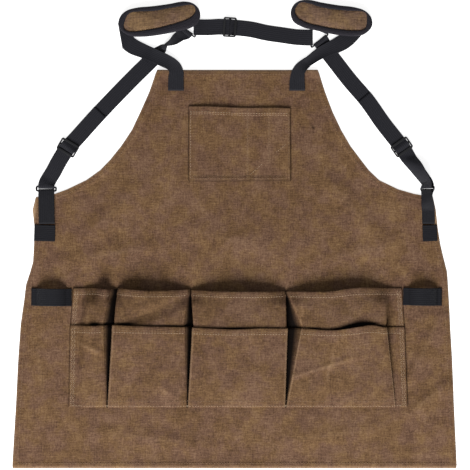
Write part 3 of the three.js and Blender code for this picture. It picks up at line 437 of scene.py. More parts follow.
def cloth_wall(under: Points, over: Points) -> tuple[Points, list[tuple[int, ...]]]:
    """Closes two grids into a sheet of cloth with a rounded rim.

    Args:
        under: Lower side, rows by columns by three.
        over: Upper side of the same shape.

    Returns:
        The points and the faces, turned outwards.
    """
    rows, columns = under.shape[:2]
    index = np.arange(rows * columns).reshape(rows, columns)
    a, b, c, d = index[:-1, :-1], index[:-1, 1:], index[1:, 1:], index[1:, :-1]
    lower = np.stack([a, d, c, b], axis=-1).reshape(-1, 4)
    upper = np.stack([a, b, c, d], axis=-1).reshape(-1, 4) + rows * columns
    ring = np.concatenate([index[0, :-1], index[:-1, -1], index[-1, :0:-1], index[:0:-1, 0]])
    middle = (under + over) / 2
    flat = middle.reshape(-1, 3)
    inset = np.clip(np.stack([ring // columns, ring % columns], axis=1), 1, [rows - 2, columns - 2])
    outward = unit(flat[ring] - middle[inset[:, 0], inset[:, 1]])
    thickness = np.linalg.norm(over - under, axis=2).reshape(-1, 1)[ring]
    rim = flat[ring] + outward * 0.4 * thickness
    here = np.arange(len(ring))
    there = np.roll(here, -1)
    rim_start = 2 * rows * columns
    over_start = rows * columns
    rim_here, rim_there = rim_start + here, rim_start + there
    low = np.stack([ring, ring[there], rim_there, rim_here], axis=1)
    high = np.stack([rim_here, rim_there, over_start + ring[there], over_start + ring], axis=1)
    points = np.concatenate([under.reshape(-1, 3), over.reshape(-1, 3), rim])
    return points, np.concatenate([lower, upper, low, high]).tolist()


def make_cloth(name: str, under: Points, over: Points, tone: Points, material: Material,
               rim: float = 0.2) -> bpy.types.Object:
    """Makes a closed sheet of cloth between two grids.

    Args:
        name: Name of the piece.
        under: Lower side, rows by columns by three, in millimetres.
        over: Upper side of the same shape.
        tone: How far each place is rubbed pale, or darkened where it is below 0, mostly as painted shade.
        material: Finish.
        rim: Tone of the cut or folded edge; below 0 it is painted shade along the edge.

    Returns:
        The new object.
    """
    points, faces = cloth_wall(under, over)
    edge = np.full(len(points) - 2 * tone.size, rim)
    return make_piece(name, points, faces, material, rub=np.concatenate([tone.ravel(), tone.ravel(), edge]))


def ease(value: Points | float) -> Points | float:
    """Smooth step from 0 to 1."""
    clipped = np.clip(value, 0, 1)
    return clipped * clipped * (3 - 2 * clipped)


def ripple(x: Points, y: Points, seed: int, length: float) -> Points:
    """Smooth random relief from a few crossing waves, between about -1 and 1.

    Args:
        x: Places across, in millimetres.
        y: Places up, in millimetres.
        seed: Picks the waves.
        length: Longest wave, in millimetres.

    Returns:
        The relief at each place.
    """
    draw = np.random.default_rng(seed)
    total = np.zeros_like(x, dtype=float)
    weight = 0.0
    for octave in range(3):
        for _ in range(4):
            angle = draw.uniform(0, math.pi)
            phase = draw.uniform(0, 2 * math.pi)
            wave = length / 2 ** octave * draw.uniform(0.75, 1.35)
            bend = 0.6 * np.sin((x * math.sin(angle) - y * math.cos(angle)) / wave * 3.1 + phase)
            along = x * math.cos(angle) + y * math.sin(angle)
            total += np.sin(along / wave * 6.28 + phase + bend) / 2 ** octave
            weight += 0.5 / 2 ** octave
    return total / weight


@dataclass(frozen=True)
class Segment:
    """Straight line between two places of the cloth."""

    start: tuple[float, float]
    end: tuple[float, float]

    def measure(self, x: Points, y: Points) -> tuple[Points, Points, float]:
        """Share of the way along and distance to the left of each place, and the line's length."""
        way = np.subtract(self.end, self.start)
        length = np.hypot(*way)
        along = ((x - self.start[0]) * way[0] + (y - self.start[1]) * way[1]) / length ** 2
        aside = ((y - self.start[1]) * way[0] - (x - self.start[0]) * way[1]) / length
        return along, aside, length


@dataclass(frozen=True)
class Fold(Segment):
    """A soft fold: breadth on each side of its crest, and the crest's height."""

    breadth: float
    crest: float
    lean: float = 1.0

    def lift(self, x: Points, y: Points) -> Points:
        """Height that the fold adds at each place. A lean above 1 makes the left side the longer one."""
        along, aside, length = self.measure(x, y)
        reach = np.where(aside > 0, self.breadth * self.lean, self.breadth)
        over_end = np.maximum(np.maximum(-along, along - 1), 0) * length
        distance = np.hypot(aside / reach, over_end / (2 * self.breadth))
        return self.crest * np.cos(np.clip(distance, 0, 1) * math.pi / 2) ** 2


@dataclass(frozen=True)
class Rub(Segment):
    """A pale rubbed line, or a dark one where its strength is below 0."""

    breadth: float = 2.2
    strength: float = 0.5

    def shade(self, x: Points, y: Points) -> Points:
        """How far each place is rubbed."""
        along, aside, length = self.measure(x, y)
        within = np.clip(along, 0, 1)
        distance = np.hypot(aside, (along - within) * length)
        fading = np.sin(math.pi * (0.1 + 0.8 * within))
        return self.strength * np.exp(-(distance / self.breadth) ** 2) * fading


# Stitching


@dataclass
class Stitcher:
    """Sews rows of stitches: short capsules of thread that dip into the cloth at both ends."""

    length: float = 3.1
    pitch: float = 4.3
    thickness: float = 0.75
    sunk: float = 0.12
    points: list[Points] = field(default_factory=list)
    faces: list[tuple[int, ...]] = field(default_factory=list)

    def sew(self, line: Points, normals: Points | None = None) -> None:
        """Sews along a line that lies on the cloth.

        Args:
            line: Points of the line, in millimetres.
            normals: Upward directions of the cloth at these points.
        """
        ways = ways_along(line)
        count = int(ways[-1] / self.pitch)
        for number in range(count):
            start = (number + 0.15) * self.pitch
            places = np.array([start, start + self.length / 2, start + self.length])
            first, middle, last = np.stack([np.interp(places, ways, line[:, k]) for k in range(3)], axis=1)
            up = UP
            if normals is not None:
                up = np.array([np.interp(places[1], ways, normals[:, k]) for k in range(3)])
            self.stitch(first, middle, last, unit(up))

    def stitch(self, first: Points, middle: Points, last: Points, up: Points) -> None:
        """Adds one stitch as a bent six-sided capsule."""
        way = last - first
        length = np.linalg.norm(way)
        if length < 0.2:
            return
        way = way / length
        across = np.cross(up, way)
        radius = self.thickness / 2
        base = len(self.points)
        spine = [(first, 0.35, -self.sunk), ((first + middle) / 2, 1.0, 0.18), (middle, 1.05, 0.25),
                 ((middle + last) / 2, 1.0, 0.18), (last, 0.35, -self.sunk)]
        for centre, swell, lift in spine:
            for k in range(6):
                angle = k * math.pi / 3
                self.points.append(centre + up * lift + radius * swell * (
                    across * math.cos(angle) + up * math.sin(angle)))
        for ring in range(4):
            for k in range(6):
                low, high = base + ring * 6, base + ring * 6 + 6
                self.faces.append((low + k, high + k, high + (k + 1) % 6, low + (k + 1) % 6))
        self.faces.append(tuple(base + k for k in range(6)))
        self.faces.append(tuple(base + 24 + k for k in range(5, -1, -1)))

    def finish(self, name: str, material: Material) -> None:
        """Makes one piece of all stitches sewn so far."""
        dress(make_piece(name, np.array(self.points), self.faces, material), Slot.CANVAS)


@dataclass
class ClothFace:
    """The upper side of a made sheet, on which stitches and other pieces are placed."""

    grid: Points
    normals: Points

    def line(self, rows: Sequence[float], columns: Sequence[float], count: int = 60) -> tuple[Points, Points]:
        """Line over the sheet between two places given as grid rows and columns.

        Args:
            rows: Grid rows of both ends, with parts of a row.
            columns: Grid columns of both ends, with parts of a column.
            count: How many points the line gets.

        Returns:
            Points and normals along the line.
        """
        row = np.linspace(rows[0], rows[1], count)
        column = np.linspace(columns[0], columns[1], count)
        return self.sample(self.grid, row, column), self.sample(self.normals, row, column)

    @staticmethod
    def sample(values: Points, row: Points, column: Points) -> Points:
        """Values between grid points."""
        low_row = np.clip(np.floor(row).astype(int), 0, values.shape[0] - 2)
        low_column = np.clip(np.floor(column).astype(int), 0, values.shape[1] - 2)
        v = (row - low_row)[:, None]
        u = (column - low_column)[:, None]
        low = values[low_row, low_column] * (1 - u) + values[low_row, low_column + 1] * u
        high = values[low_row + 1, low_column] * (1 - u) + values[low_row + 1, low_column + 1] * u
        return low * (1 - v) + high * v


def dress(piece: bpy.types.Object, slot: Slot, *nodes: str) -> None:
    """Ties a piece to the body and hides the CAD nodes that it stands for."""
    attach(piece, "root")
    if nodes:
        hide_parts(*nodes)
    LOG.info("%s: %d faces", piece.name, len(piece.data.polygons))


# Body panel


@dataclass
class BodyPanel:
    """The waxed canvas panel, cut in at the arms, hemmed all round and softly creased where it lies."""

    spacing: float = 3.7
    columns: int = 190
    relief: float = 0.55
    strip_middle: tuple[float, float] = (6.0, 190.0)
    strip_half: tuple[float, float] = (267.0, 105.0)
    curl: float = 3.2
    curled_corners: tuple[tuple[float, float], ...] = ((-116.0, 26.0), (126.0, 20.0))
    outline: tuple[tuple[float, float, float], ...] = (
        # up as a share of the height, left and right as shares of the half width
        (0.000, 1.000, 1.000), (0.170, 0.982, 0.986), (0.271, 0.973, 0.979), (0.359, 0.962, 0.970),
        (0.422, 0.946, 0.964), (0.460, 0.938, 0.960), (0.492, 0.919, 0.956), (0.518, 0.906, 0.944),
        (0.560, 0.902, 0.926), (0.603, 0.899, 0.914), (0.649, 0.908, 0.905), (0.681, 0.894, 0.892),
        (0.690, 0.806, 0.804), (0.701, 0.752, 0.736), (0.724, 0.666, 0.650), (0.749, 0.603, 0.603),
        (0.775, 0.558, 0.567), (0.810, 0.508, 0.520), (0.850, 0.460, 0.478), (0.895, 0.422, 0.440),
        (0.945, 0.382, 0.406), (1.000, 0.348, 0.375),
    )
    wear: tuple[Rub, ...] = (
        Rub((-316, 424), (-318, 390), 4.0, 0.95),
        Rub((317, 412), (319, 378), 4.0, 0.95),
        Rub((121, 539), (126, 537), 1.5, -1.8),
    )
    folds: tuple[Fold, ...] = (
        Fold((324, 236), (282, 150), 15, 3.0, 1.5),
        Fold((330, 128), (284, 92), 14, 2.4, 1.6),
        Fold((-312, 190), (-302, 110), 15, 1.4),
        Fold((-200, 55), (-70, 38), 22, 1.6),
        Fold((90, 44), (215, 60), 22, 1.6),
        Fold((-215, 382), (-155, 440), 26, 1.8),
        Fold((215, 376), (155, 445), 26, 1.8),
        Fold((-60, 372), (40, 350), 30, 1.5),
        Fold((150, 330), (245, 352), 24, 1.4),
        Fold((-245, 330), (-140, 346), 22, 1.4),
    )

    def edges(self, y: Points) -> tuple[Points, Points]:
        """Left and right edge at each height."""
        table = np.array(self.outline)
        share = y / PANEL_HEIGHT
        left, right = [PANEL_WIDTH / 2 * np.interp(share, table[:, 0], table[:, k]) for k in (1, 2)]
        return -left, right

    def edge_at(self, side: Side, y: float) -> float:
        """X of one side's edge at a height."""
        return self.edges(np.array([y]))[0 if side is Side.LEFT else 1][0]

    def rise(self, x: Points, y: Points) -> Points:
        """Height of the cloth's underside over the floor, lower where the pocket strip holds it down."""
        lift = sum(fold.lift(x, y) for fold in self.folds)
        soft = self.relief * (1 + ripple(x, y, 11, 150))
        beside = ease((self.strip_half[0] - np.abs(x - self.strip_middle[0])) / 20)
        above = ease((self.strip_half[1] - np.abs(y - self.strip_middle[1])) / 14)
        return np.maximum((lift + soft) * (1 - 0.75 * above * beside), 0)

    def build(self, finishes: Finishes) -> None:
        """Builds the panel as one sheet of cloth."""
        corners = [0, HEM_WIDTH, *(row[0] * PANEL_HEIGHT for row in self.outline[1:-1]),
                   PANEL_HEIGHT - HEM_WIDTH, PANEL_HEIGHT]
        heights = np.unique(np.concatenate([
            np.linspace(low, high, max(2, round((high - low) / self.spacing) + 1))
            for low, high in zip(corners[:-1], corners[1:])]))
        left, right = self.edges(heights)
        share = np.linspace(0, 1, self.columns)
        share = 0.5 - 0.5 * np.cos(share * math.pi) * (1 - 0.32 * np.sin(share * math.pi))
        x = left[:, None] + (right - left)[:, None] * share
        y = np.repeat(heights[:, None], self.columns, axis=1)
        slope = [np.hypot(1, np.gradient(edge, heights))[:, None] for edge in (left, right)]
        inside = np.minimum((x - left[:, None]) / slope[0], (right[:, None] - x) / slope[1])
        inside = np.minimum(inside, np.minimum(y, PANEL_HEIGHT - y))
        thickness = CLOTH + (HEM - CLOTH) * ease((HEM_WIDTH + 0.8 - inside) / 1.6)
        rise = self.rise(x, y)
        corner = sum(ease((reach - np.hypot(x - place, y - PANEL_HEIGHT)) / reach)
                     for place, reach in self.curled_corners)
        under = np.stack([x, y, rise + self.curl * ease((14 - inside) / 14) * corner], axis=2)
        over = under + UP * thickness[:, :, None]
        rub = 0.3 * np.exp(-(inside / 1.0) ** 2)
        for fold in self.folds:
            rub += Rub(fold.start, fold.end, 3.0, 0.1).shade(x, y)
        rub += sum(wear_and_shade.shade(x, y) for wear_and_shade in self.wear)
        piece = make_cloth("waxed_panel", under, over, rub, finishes.canvas)
        dress(piece, Slot.CANVAS, "body_panel")
        self.sew(finishes, heights, left, right)

    def sew(self, finishes: Finishes, heights: Points, left: Points, right: Points) -> None:
        """Sews the hem all round, a little inside its edge, in tan thread."""
        stitcher = Stitcher(thickness=0.55)
        inset = 6.6
        for edge, sign in ((left, 1), (right, -1)):
            slope = np.gradient(edge, heights)
            normal = unit(np.stack([np.full_like(slope, 1.0), -slope], axis=1)) * sign
            line = np.stack([edge, heights], axis=1) + normal * inset
            keep = (line[:, 1] > inset) & (line[:, 1] < PANEL_HEIGHT - inset)
            keep &= np.concatenate([[True], np.diff(line[:, 1]) > 0.05])
            line = line[keep]
            z = self.rise(line[:, 0], line[:, 1]) + HEM
            stitcher.sew(np.column_stack([line, z]))
        for y in (7.1, PANEL_HEIGHT - 6.2):
            low, high = [float(np.interp(y, heights, edge)) for edge in (left, right)]
            x = np.linspace(low + inset, high - inset, 200)
            line = np.column_stack([x, np.full_like(x, y)])
            stitcher.sew(np.column_stack([line, self.rise(line[:, 0], line[:, 1]) + HEM]))
        stitcher.finish("panel_hem_stitches", finishes.brown_thread)


# Waist pockets


@dataclass(frozen=True)
class PocketSeam:
    """Seam between two pockets: places as shares of the strip, and how far its pleat stands open.

    The slope tells which wall of the pleat leans back: -1 the left one, 1 the right one.
    """

    foot: float
    lip: float
    mouth: float
    lip_gap: float = 0.0
    mouth_gap: float = 0.0
    slope: int = 0


@dataclass(frozen=True)
class Mouth:
    """Mouth edge of one pocket: rises above the tier's line at shares of its width, and how it gapes."""

    places: tuple[float, ...]
    rises: tuple[float, ...]
    gape: float = 0.0
    gape_at: float = 0.5
    gape_width: float = 0.3
    skew: float = 1.0

    def rise(self, share: Points) -> Points:
        """Rise of the edge over the tier's line, with its corners smoothed."""
        return sum(np.interp(np.clip(share + step, 0, 1), self.places, self.rises)
                   for step in (-0.05, -0.025, 0, 0.025, 0.05)) / 5

    def open_by(self, share: Points) -> Points:
        """How far the mouth stands open."""
        return self.gape * np.exp(-((share - self.gape_at) / self.gape_width) ** 2)


@dataclass
class Column:
    """One column of a tier's grid: its places, bulge and share of the pocket's width, foot to mouth."""

    x: Points
    bulge: Points
    share: Points
    pocket: int
    tone: Points | float = 0.0


@dataclass
class WaistPockets:
    """Two tiers of pockets on the same seams: pleats between the pockets, hems at the mouths."""

    width: float = 534.0
    foot: float = 96.0
    aside: float = 5.8
    upper_height: float = 185.0
    lower_height: float = 126.0
    upper_proud: float = 18.5
    lower_proud: float = 0.5
    gape: float = 6.0
    foot_gap: float = 4.6
    corner: float = 2.6
    roundness: float = 0.55
    edge_crown: float = 0.86
    face_points: int = 30
    row_spacing: float = 3.5
    row_power: float = 1.08
    stitch_inset: float = 9.2
    seams: tuple[PocketSeam, ...] = (
        PocketSeam(0.000, 0.004, 0.013),
        PocketSeam(0.113, 0.118, 0.136, 16, 9, -1),
        PocketSeam(0.350, 0.355, 0.359, 14, 2.2, -1),
        PocketSeam(0.640, 0.665, 0.641, 24, 1.2, 1),
        PocketSeam(1.000, 0.991, 0.983),
    )
    upper_mouths: tuple[Mouth, ...] = (
        Mouth((0, 0.5, 1), (2.1, 2.3, 0.5), skew=3.0),
        Mouth((0, 0.43, 0.8, 1), (2.1, -1.8, -0.9, 0.2), skew=0.62),
        Mouth((0, 0.3, 0.73, 1), (-0.9, -2.6, -3.1, -3.1)),
        Mouth((0, 0.44, 0.57, 0.77, 1), (-3.1, -2.8, 1.0, 4.0, 2.0)),
    )
    lower_mouths: tuple[Mouth, ...] = (
        Mouth((0, 0.5, 1), (2.6, 2.6, 3.2), 0.6, 0.5, 0.35),
        Mouth((0, 0.3, 1), (3.8, 2.2, 0.6), 0.45, 0.16, 0.14),
        Mouth((0, 0.43, 0.73, 1), (-0.3, -3.3, -1.3, -1.6), 0.15, 0.45, 0.3),
        Mouth((0, 0.28, 0.41, 0.62, 0.83, 1), (-1.4, -4.4, -4.2, 0.5, 4.6, -0.5), 1.0, 0.66, 0.22),
    )
    upper_folds: tuple[Fold, ...] = (
        Fold((-76, 268), (-150, 240), 13, -5.5, 1.6),
        Fold((108, 262), (104, 226), 6, 1.5),
        Fold((172, 262), (196, 240), 14, -1.6),
        Fold((30, 262), (10, 232), 14, -1.0),
    )
    lower_folds: tuple[Fold, ...] = (
        Fold((92, 144), (196, 176), 9, 1.8),
        Fold((-246, 198), (-206, 180), 9, 1.8),
        Fold((160, 200), (140, 120), 16, 1.4),
        Fold((-120, 130), (-100, 112), 10, 1.2),
        Fold((20, 180), (-20, 130), 20, -1.6),
        Fold((-110, 190), (-150, 140), 20, -1.4),
    )
    upper_face: ClothFace | None = None
    lower_face: ClothFace | None = None
    face_columns: list[tuple[int, int]] = field(default_factory=list)

    def seam_at(self, seam: PocketSeam, heights: Points) -> tuple[Points, Points]:
        """Place and open width of a seam's pleat at heights over the foot."""
        marks = [0, self.lower_height, self.upper_height]
        lip_gap = max(seam.lip_gap, self.foot_gap)
        left_end = self.aside - self.width / 2
        place = left_end + self.width * np.interp(heights, marks, [seam.foot, seam.lip, seam.mouth])
        return place, np.interp(heights, marks, [self.foot_gap, lip_gap, seam.mouth_gap])

    def proud(self, heights: Points) -> Points:
        """How far a pocket's face stands off the panel."""
        return self.upper_proud * np.maximum(heights / self.upper_height, 0) ** self.roundness

    def crown(self, share: Points, heights: Points, skew: float = 1.0) -> Points:
        """Bulge across a face: boxy in the pleats, a soft hump at the mouth, a skew above 1 to the right."""
        boxy = self.edge_crown + (1 - self.edge_crown) * np.sin(np.clip(share, 0, 1) * math.pi)
        hump = np.sin(np.clip(share, 0, 1) ** skew * math.pi) ** 0.7
        near_mouth = ease(1 - (self.upper_height - heights) / 26) * 0.86
        return boxy * (1 - near_mouth) + np.maximum(hump, 0.1) * near_mouth

    def grid_heights(self, height: float) -> Points:
        """Heights of the grid rows up to a mouth, closer together at the foot."""
        return height * np.linspace(0, 1, round(height / self.row_spacing)) ** self.row_power

    def row_of(self, up: float, height: float, rows: int) -> float:
        """Grid row at a height over the foot."""
        return (rows - 1) * (up / height) ** (1 / self.row_power)

    def wall(self, foot: Points, edge: Points, inwards: int, pocket: int, heights: Points, leans: bool
             ) -> list[Column]:
        """Wall of a pleat from its floor to the rounded edge of the pocket's face, its cloth painted dark
        towards the floor as shade and rubbed pale at a crisp edge.
        """
        zero = np.zeros_like(heights)
        rise = np.maximum(self.proud(heights), 0.1)
        radius = np.minimum(self.corner, 0.7 * rise)
        at_edge = self.crown(zero, heights)
        brim = np.clip(1 - radius / rise, 0, 1)
        soft = leans and inwards < 0
        made = []
        for part in (0.0, 0.12, 0.35, 0.6, 0.82, 1.0):
            up = math.sin(part * math.pi / 2) if soft else part
            # painted shade on the pleat's wall, darkest at its floor
            pleat_shade = -1.3 * (1 - part) ** 0.55 if leans else -1.4 * (1 - part ** 6)
            made.append(Column(foot + (edge - foot) * part, at_edge * brim * up, zero, pocket, pleat_shade))
        for angle in (0.5, 1.0):
            made.append(Column(edge + inwards * radius * (1 - math.cos(angle)),
                               at_edge - radius / rise * (1 - math.sin(angle)), zero, pocket,
                               0.0 if soft else 0.38))
        return made

    def end(self, seam_x: Points, flange: Points, ramp: Points, inwards: int, pocket: int, heights: Points,
            wear_and_shade: Points) -> list[Column]:
        """Flat flange at the strip's end, then the slope up to the pocket's face, worn pale at its top, with
        painted shade at the strip's edge, on the flange and at the slope's foot.
        """
        zero = np.zeros_like(heights)
        # painted shade: darkest at the strip's edge, lighter on the flange beside the slope
        made = [Column(seam_x + inwards * off, zero, zero, pocket, tone)
                for off, tone in ((0.0, -0.75), (1.1, 0.0), (5.0, 0.0), (9.0, 0.0))]
        made.append(Column(seam_x + inwards * (flange - 1.0), zero, zero, pocket, -0.15))
        for part in (0.0, 0.2, 0.4, 0.6, 0.8, 0.94):
            # rubbed pale at the slope's top; painted shade at its foot
            tone = wear_and_shade * (0.8 * ease(part) ** 2 - 0.5 * (1 - part))
            place = seam_x + inwards * (flange + ramp * part)
            made.append(Column(place, ease(part) * self.crown(zero, heights), zero, pocket, tone))
        return made

    def section(self, heights: Points, lower: bool) -> list[Column]:
        """Columns of a tier's underside.

        Args:
            heights: Heights over the foot, one for each row.
            lower: Whether this is the front tier, whose cloth lies inside the pleats of the other.

        Returns:
            The columns from the left end to the right end.
        """
        offset = -CLEARANCE if lower else CLOTH
        outer = CLOTH + CLEARANCE if lower else 0.0
        last = len(self.seams) - 2
        columns: list[Column] = []
        self.face_columns = []
        upper_part = ease((heights - self.lower_height - 2) / 12)
        floor = self.foot_gap / 2 * (1 - upper_part) + 0.4 * upper_part
        mouth_part = ease((heights - self.lower_height) / (self.upper_height - self.lower_height))
        for pocket in range(last + 1):
            places = []
            for seam, side in ((self.seams[pocket], 1), (self.seams[pocket + 1], -1)):
                centre, gap = self.seam_at(seam, heights)
                width = np.minimum(floor, gap / 2)
                shift = seam.slope * np.maximum(gap / 2 - width - 0.3, 0)
                foot = centre - shift + side * (width + offset)
                edge = centre + side * (gap / 2 + offset)
                places.append((centre, foot, edge, seam.slope == side))
            (left, left_foot, start, left_leans), (right, right_foot, end, right_leans) = places
            if pocket == 0:
                flange, ramp = np.full_like(heights, 13.0 - outer), np.full_like(heights, 15.0)
                opening = self.end(left, flange, ramp, 1, pocket, heights, np.zeros_like(heights))
                start = left + flange + ramp
            else:
                opening = self.wall(left_foot, start, 1, pocket, heights, left_leans)
                start = start + self.corner
            if pocket == last:
                marks = [0, self.lower_height, self.upper_height]
                flange = np.interp(heights, marks, [20.5, 30.5, 12]) - outer
                ramp = 2.4 + 14 * mouth_part
                closing = self.end(right, flange, ramp, -1, pocket, heights, 1 - ease(mouth_part * 4))
                end = right - flange - ramp
            else:
                closing = self.wall(right_foot, end, -1, pocket, heights, right_leans)
                end = end - self.corner
            skew = self.upper_mouths[pocket].skew
            face = []
            for part in np.linspace(0, 1, self.face_points):
                spot = np.full_like(heights, part)
                x = start + (end - start) * part
                face.append(Column(x, self.crown(spot, heights, skew), spot, pocket))
            first = len(columns) + len(opening)
            self.face_columns.append((first, first + len(face) - 1))
            for column in closing:
                column.share = np.ones_like(heights)
            columns += [*opening, *face, *reversed(closing)]
        return columns

    @staticmethod
    def across(mouths: Sequence[Mouth], share: Points, number: Points,
               value: Callable[[Mouth, Points], Points]) -> Points:
        """A value of each pocket's mouth, spread over the pocket's columns."""
        return sum(np.where(number == pocket, value(mouth, share), 0.0)
                   for pocket, mouth in enumerate(mouths))

    def tier(self, panel: BodyPanel, lower: bool) -> tuple[Points, Points, Points]:
        """Underside, upper side and tone of one tier over the panel."""
        height = self.lower_height if lower else self.upper_height
        mouths = self.lower_mouths if lower else self.upper_mouths
        heights = self.grid_heights(height)
        columns = self.section(heights, lower)
        x, bulge, share = [np.stack([getattr(column, name) for column in columns], axis=1)
                           for name in ("x", "bulge", "share")]
        number = np.repeat(np.array([[column.pocket for column in columns]]), len(heights), axis=0)
        along = (heights / height)[:, None]
        y = self.foot + heights[:, None] + self.across(mouths, share, number, Mouth.rise) * along ** 6
        face = np.maximum(self.proud(heights), 0.4)[:, None]
        folds = sum(fold.lift(x, y) for fold in self.upper_folds)
        crease = 0.6 * ripple(x, y, 23, 74) * np.minimum(face / 6, 1)
        z = panel.rise(x, y) + PANEL_TOP + bulge * (face + crease + folds)
        z = np.maximum(z, PANEL_TOP)
        if lower:
            stand = self.lower_proud * along ** 0.6
            stand = stand + self.gape * self.across(mouths, share, number, Mouth.open_by) * along ** 5
            stand = stand + sum(fold.lift(x, y) for fold in self.lower_folds) * np.minimum(1, along * 3)
            z += CLOTH + CLEARANCE + bulge * stand
        under = np.stack([x, y, z], axis=2)
        hem = 0.3 if lower else 1.0
        thickness = CLOTH + (HEM - CLOTH) * hem * ease((heights - height + HEM_WIDTH) / 1.5)
        over = under + grid_normals(under) * thickness[:, None, None]
        tone = np.stack([np.broadcast_to(column.tone, heights.shape) for column in columns], axis=1)
        # the pocket faces get painted shade, more where they bulge further; palest caps their rubbed tone
        palest, shade = (0.6, 0.1) if lower else (0.15, 0.2)
        tone = np.minimum(tone * np.minimum(1, 0.6 + 2 * along), palest) - shade * np.clip(bulge, 0, 1)
        tone = tone + 0.08 * ease((heights - height + 4) / 4)[:, None] * (np.abs(tone) < 0.4)
        if not lower:
            # painted shadow on the upper tier in the gap behind the lower mouths
            rise, open_by = [self.across(self.lower_mouths, share, number, value)
                             for value in (Mouth.rise, Mouth.open_by)]
            line = self.foot + self.lower_height + rise
            reach = 1.4 + 3.6 * open_by
            tone = tone - 1.1 * np.exp(-((y - line - 0.6 * reach) / reach) ** 2) * (bulge > 0.3)
        for fold in (self.lower_folds if lower else self.upper_folds):
            if fold.crest > 0:
                tone = tone + Rub(fold.start, fold.end, 2.4, 0.34).shade(x, y)
        return under, over, tone

    def build(self, panel: BodyPanel, finishes: Finishes) -> None:
        """Builds both tiers and their stitching."""
        faces = []
        for word, lower, height in (("upper", False, self.upper_height), ("lower", True, self.lower_height)):
            under, over, tone = self.tier(panel, lower)
            faces.append(ClothFace(over, grid_normals(over)))
            # the strips' rims are painted dark as shade along their edges
            piece = make_cloth(f"{word}_waist_pockets", under, over, tone, finishes.canvas, rim=-0.4)
            dress(piece, Slot.CANVAS, f"{word}_pocket_strip")
        self.upper_face, self.lower_face = faces
        self.sew(finishes)

    def sew(self, finishes: Finishes) -> None:
        """Sews mouths, sides, foot and bar tacks in beige thread."""
        stitcher = Stitcher(thickness=0.7)
        faint = Stitcher(thickness=0.55)
        for face, height in ((self.upper_face, self.upper_height), (self.lower_face, self.lower_height)):
            rows = face.grid.shape[0]
            for down, thread in ((self.stitch_inset, stitcher), (self.stitch_inset - 3.2, faint)):
                row = self.row_of(height - down, height, rows)
                for pocket, (first, last) in enumerate(self.face_columns):
                    low = first - (10 if pocket == 0 else 1)
                    high = last + (10 if pocket == len(self.face_columns) - 1 else 1)
                    thread.sew(*face.line((row, row), (low, high), 120))
            self.zigzag(stitcher, face, height)
        lower = self.lower_face
        rows, columns = lower.grid.shape[:2]
        for up, thread in ((2.4, stitcher), (10.0, faint)):
            row = self.row_of(up, self.lower_height, rows)
            for first, last in self.face_columns:
                thread.sew(*lower.line((row, row), (max(first - 9, 1), min(last + 9, columns - 2)), 160))
        for seam in self.seams[1:-1]:
            self.bar_tack(stitcher, float(self.seam_at(seam, np.array([0.0]))[0][0]))
        stitcher.finish("waist_pocket_stitches", finishes.beige_thread)
        faint.finish("waist_pocket_second_stitches", finishes.brown_thread)

    def zigzag(self, stitcher: Stitcher, face: ClothFace, height: float) -> None:
        """Sews two close zigzag rows down each side flange, where this tier shows."""
        rows = face.grid.shape[0]
        bottom = 1.0 if face is self.lower_face else self.lower_height + 3
        fine = Stitcher(thickness=0.42, points=stitcher.points, faces=stitcher.faces)
        ups = np.arange(bottom, height - 2, 3.3)
        row = np.array([self.row_of(up, height, rows) for up in ups])
        for edge, inwards in ((0, 1), (face.grid.shape[1] - 1, -1)):
            for shift in (1.8, 5.4):
                off = shift + 3.2 * (np.arange(len(ups)) % 2)
                first = ClothFace.sample(face.grid, row, np.full(len(row), float(edge)))
                columns = np.interp(off, [0.0, 1.1, 5.0, 9.0], [0.0, 1.0, 2.0, 3.0])
                points = ClothFace.sample(face.grid, row, edge + inwards * columns)
                points[:, 0] = first[:, 0] + inwards * off
                for low, high in zip(points[:-1], points[1:]):
                    fine.stitch(low, (low + high) / 2, high, UP)

    def bar_tack(self, stitcher: Stitcher, x: float) -> None:
        """Sews a dense bar tack where a seam ends at the foot."""
        z = PANEL_TOP + 2 * CLOTH + CLEARANCE + 0.6
        for number in range(14):
            at = x - 15 + number * 2.1
            low = np.array([at, self.foot + 0.6, z])
            high = np.array([at + 1.2, self.foot + 3.6, z])
            stitcher.stitch(low, (low + high) / 2, high, UP)


# Bib pocket


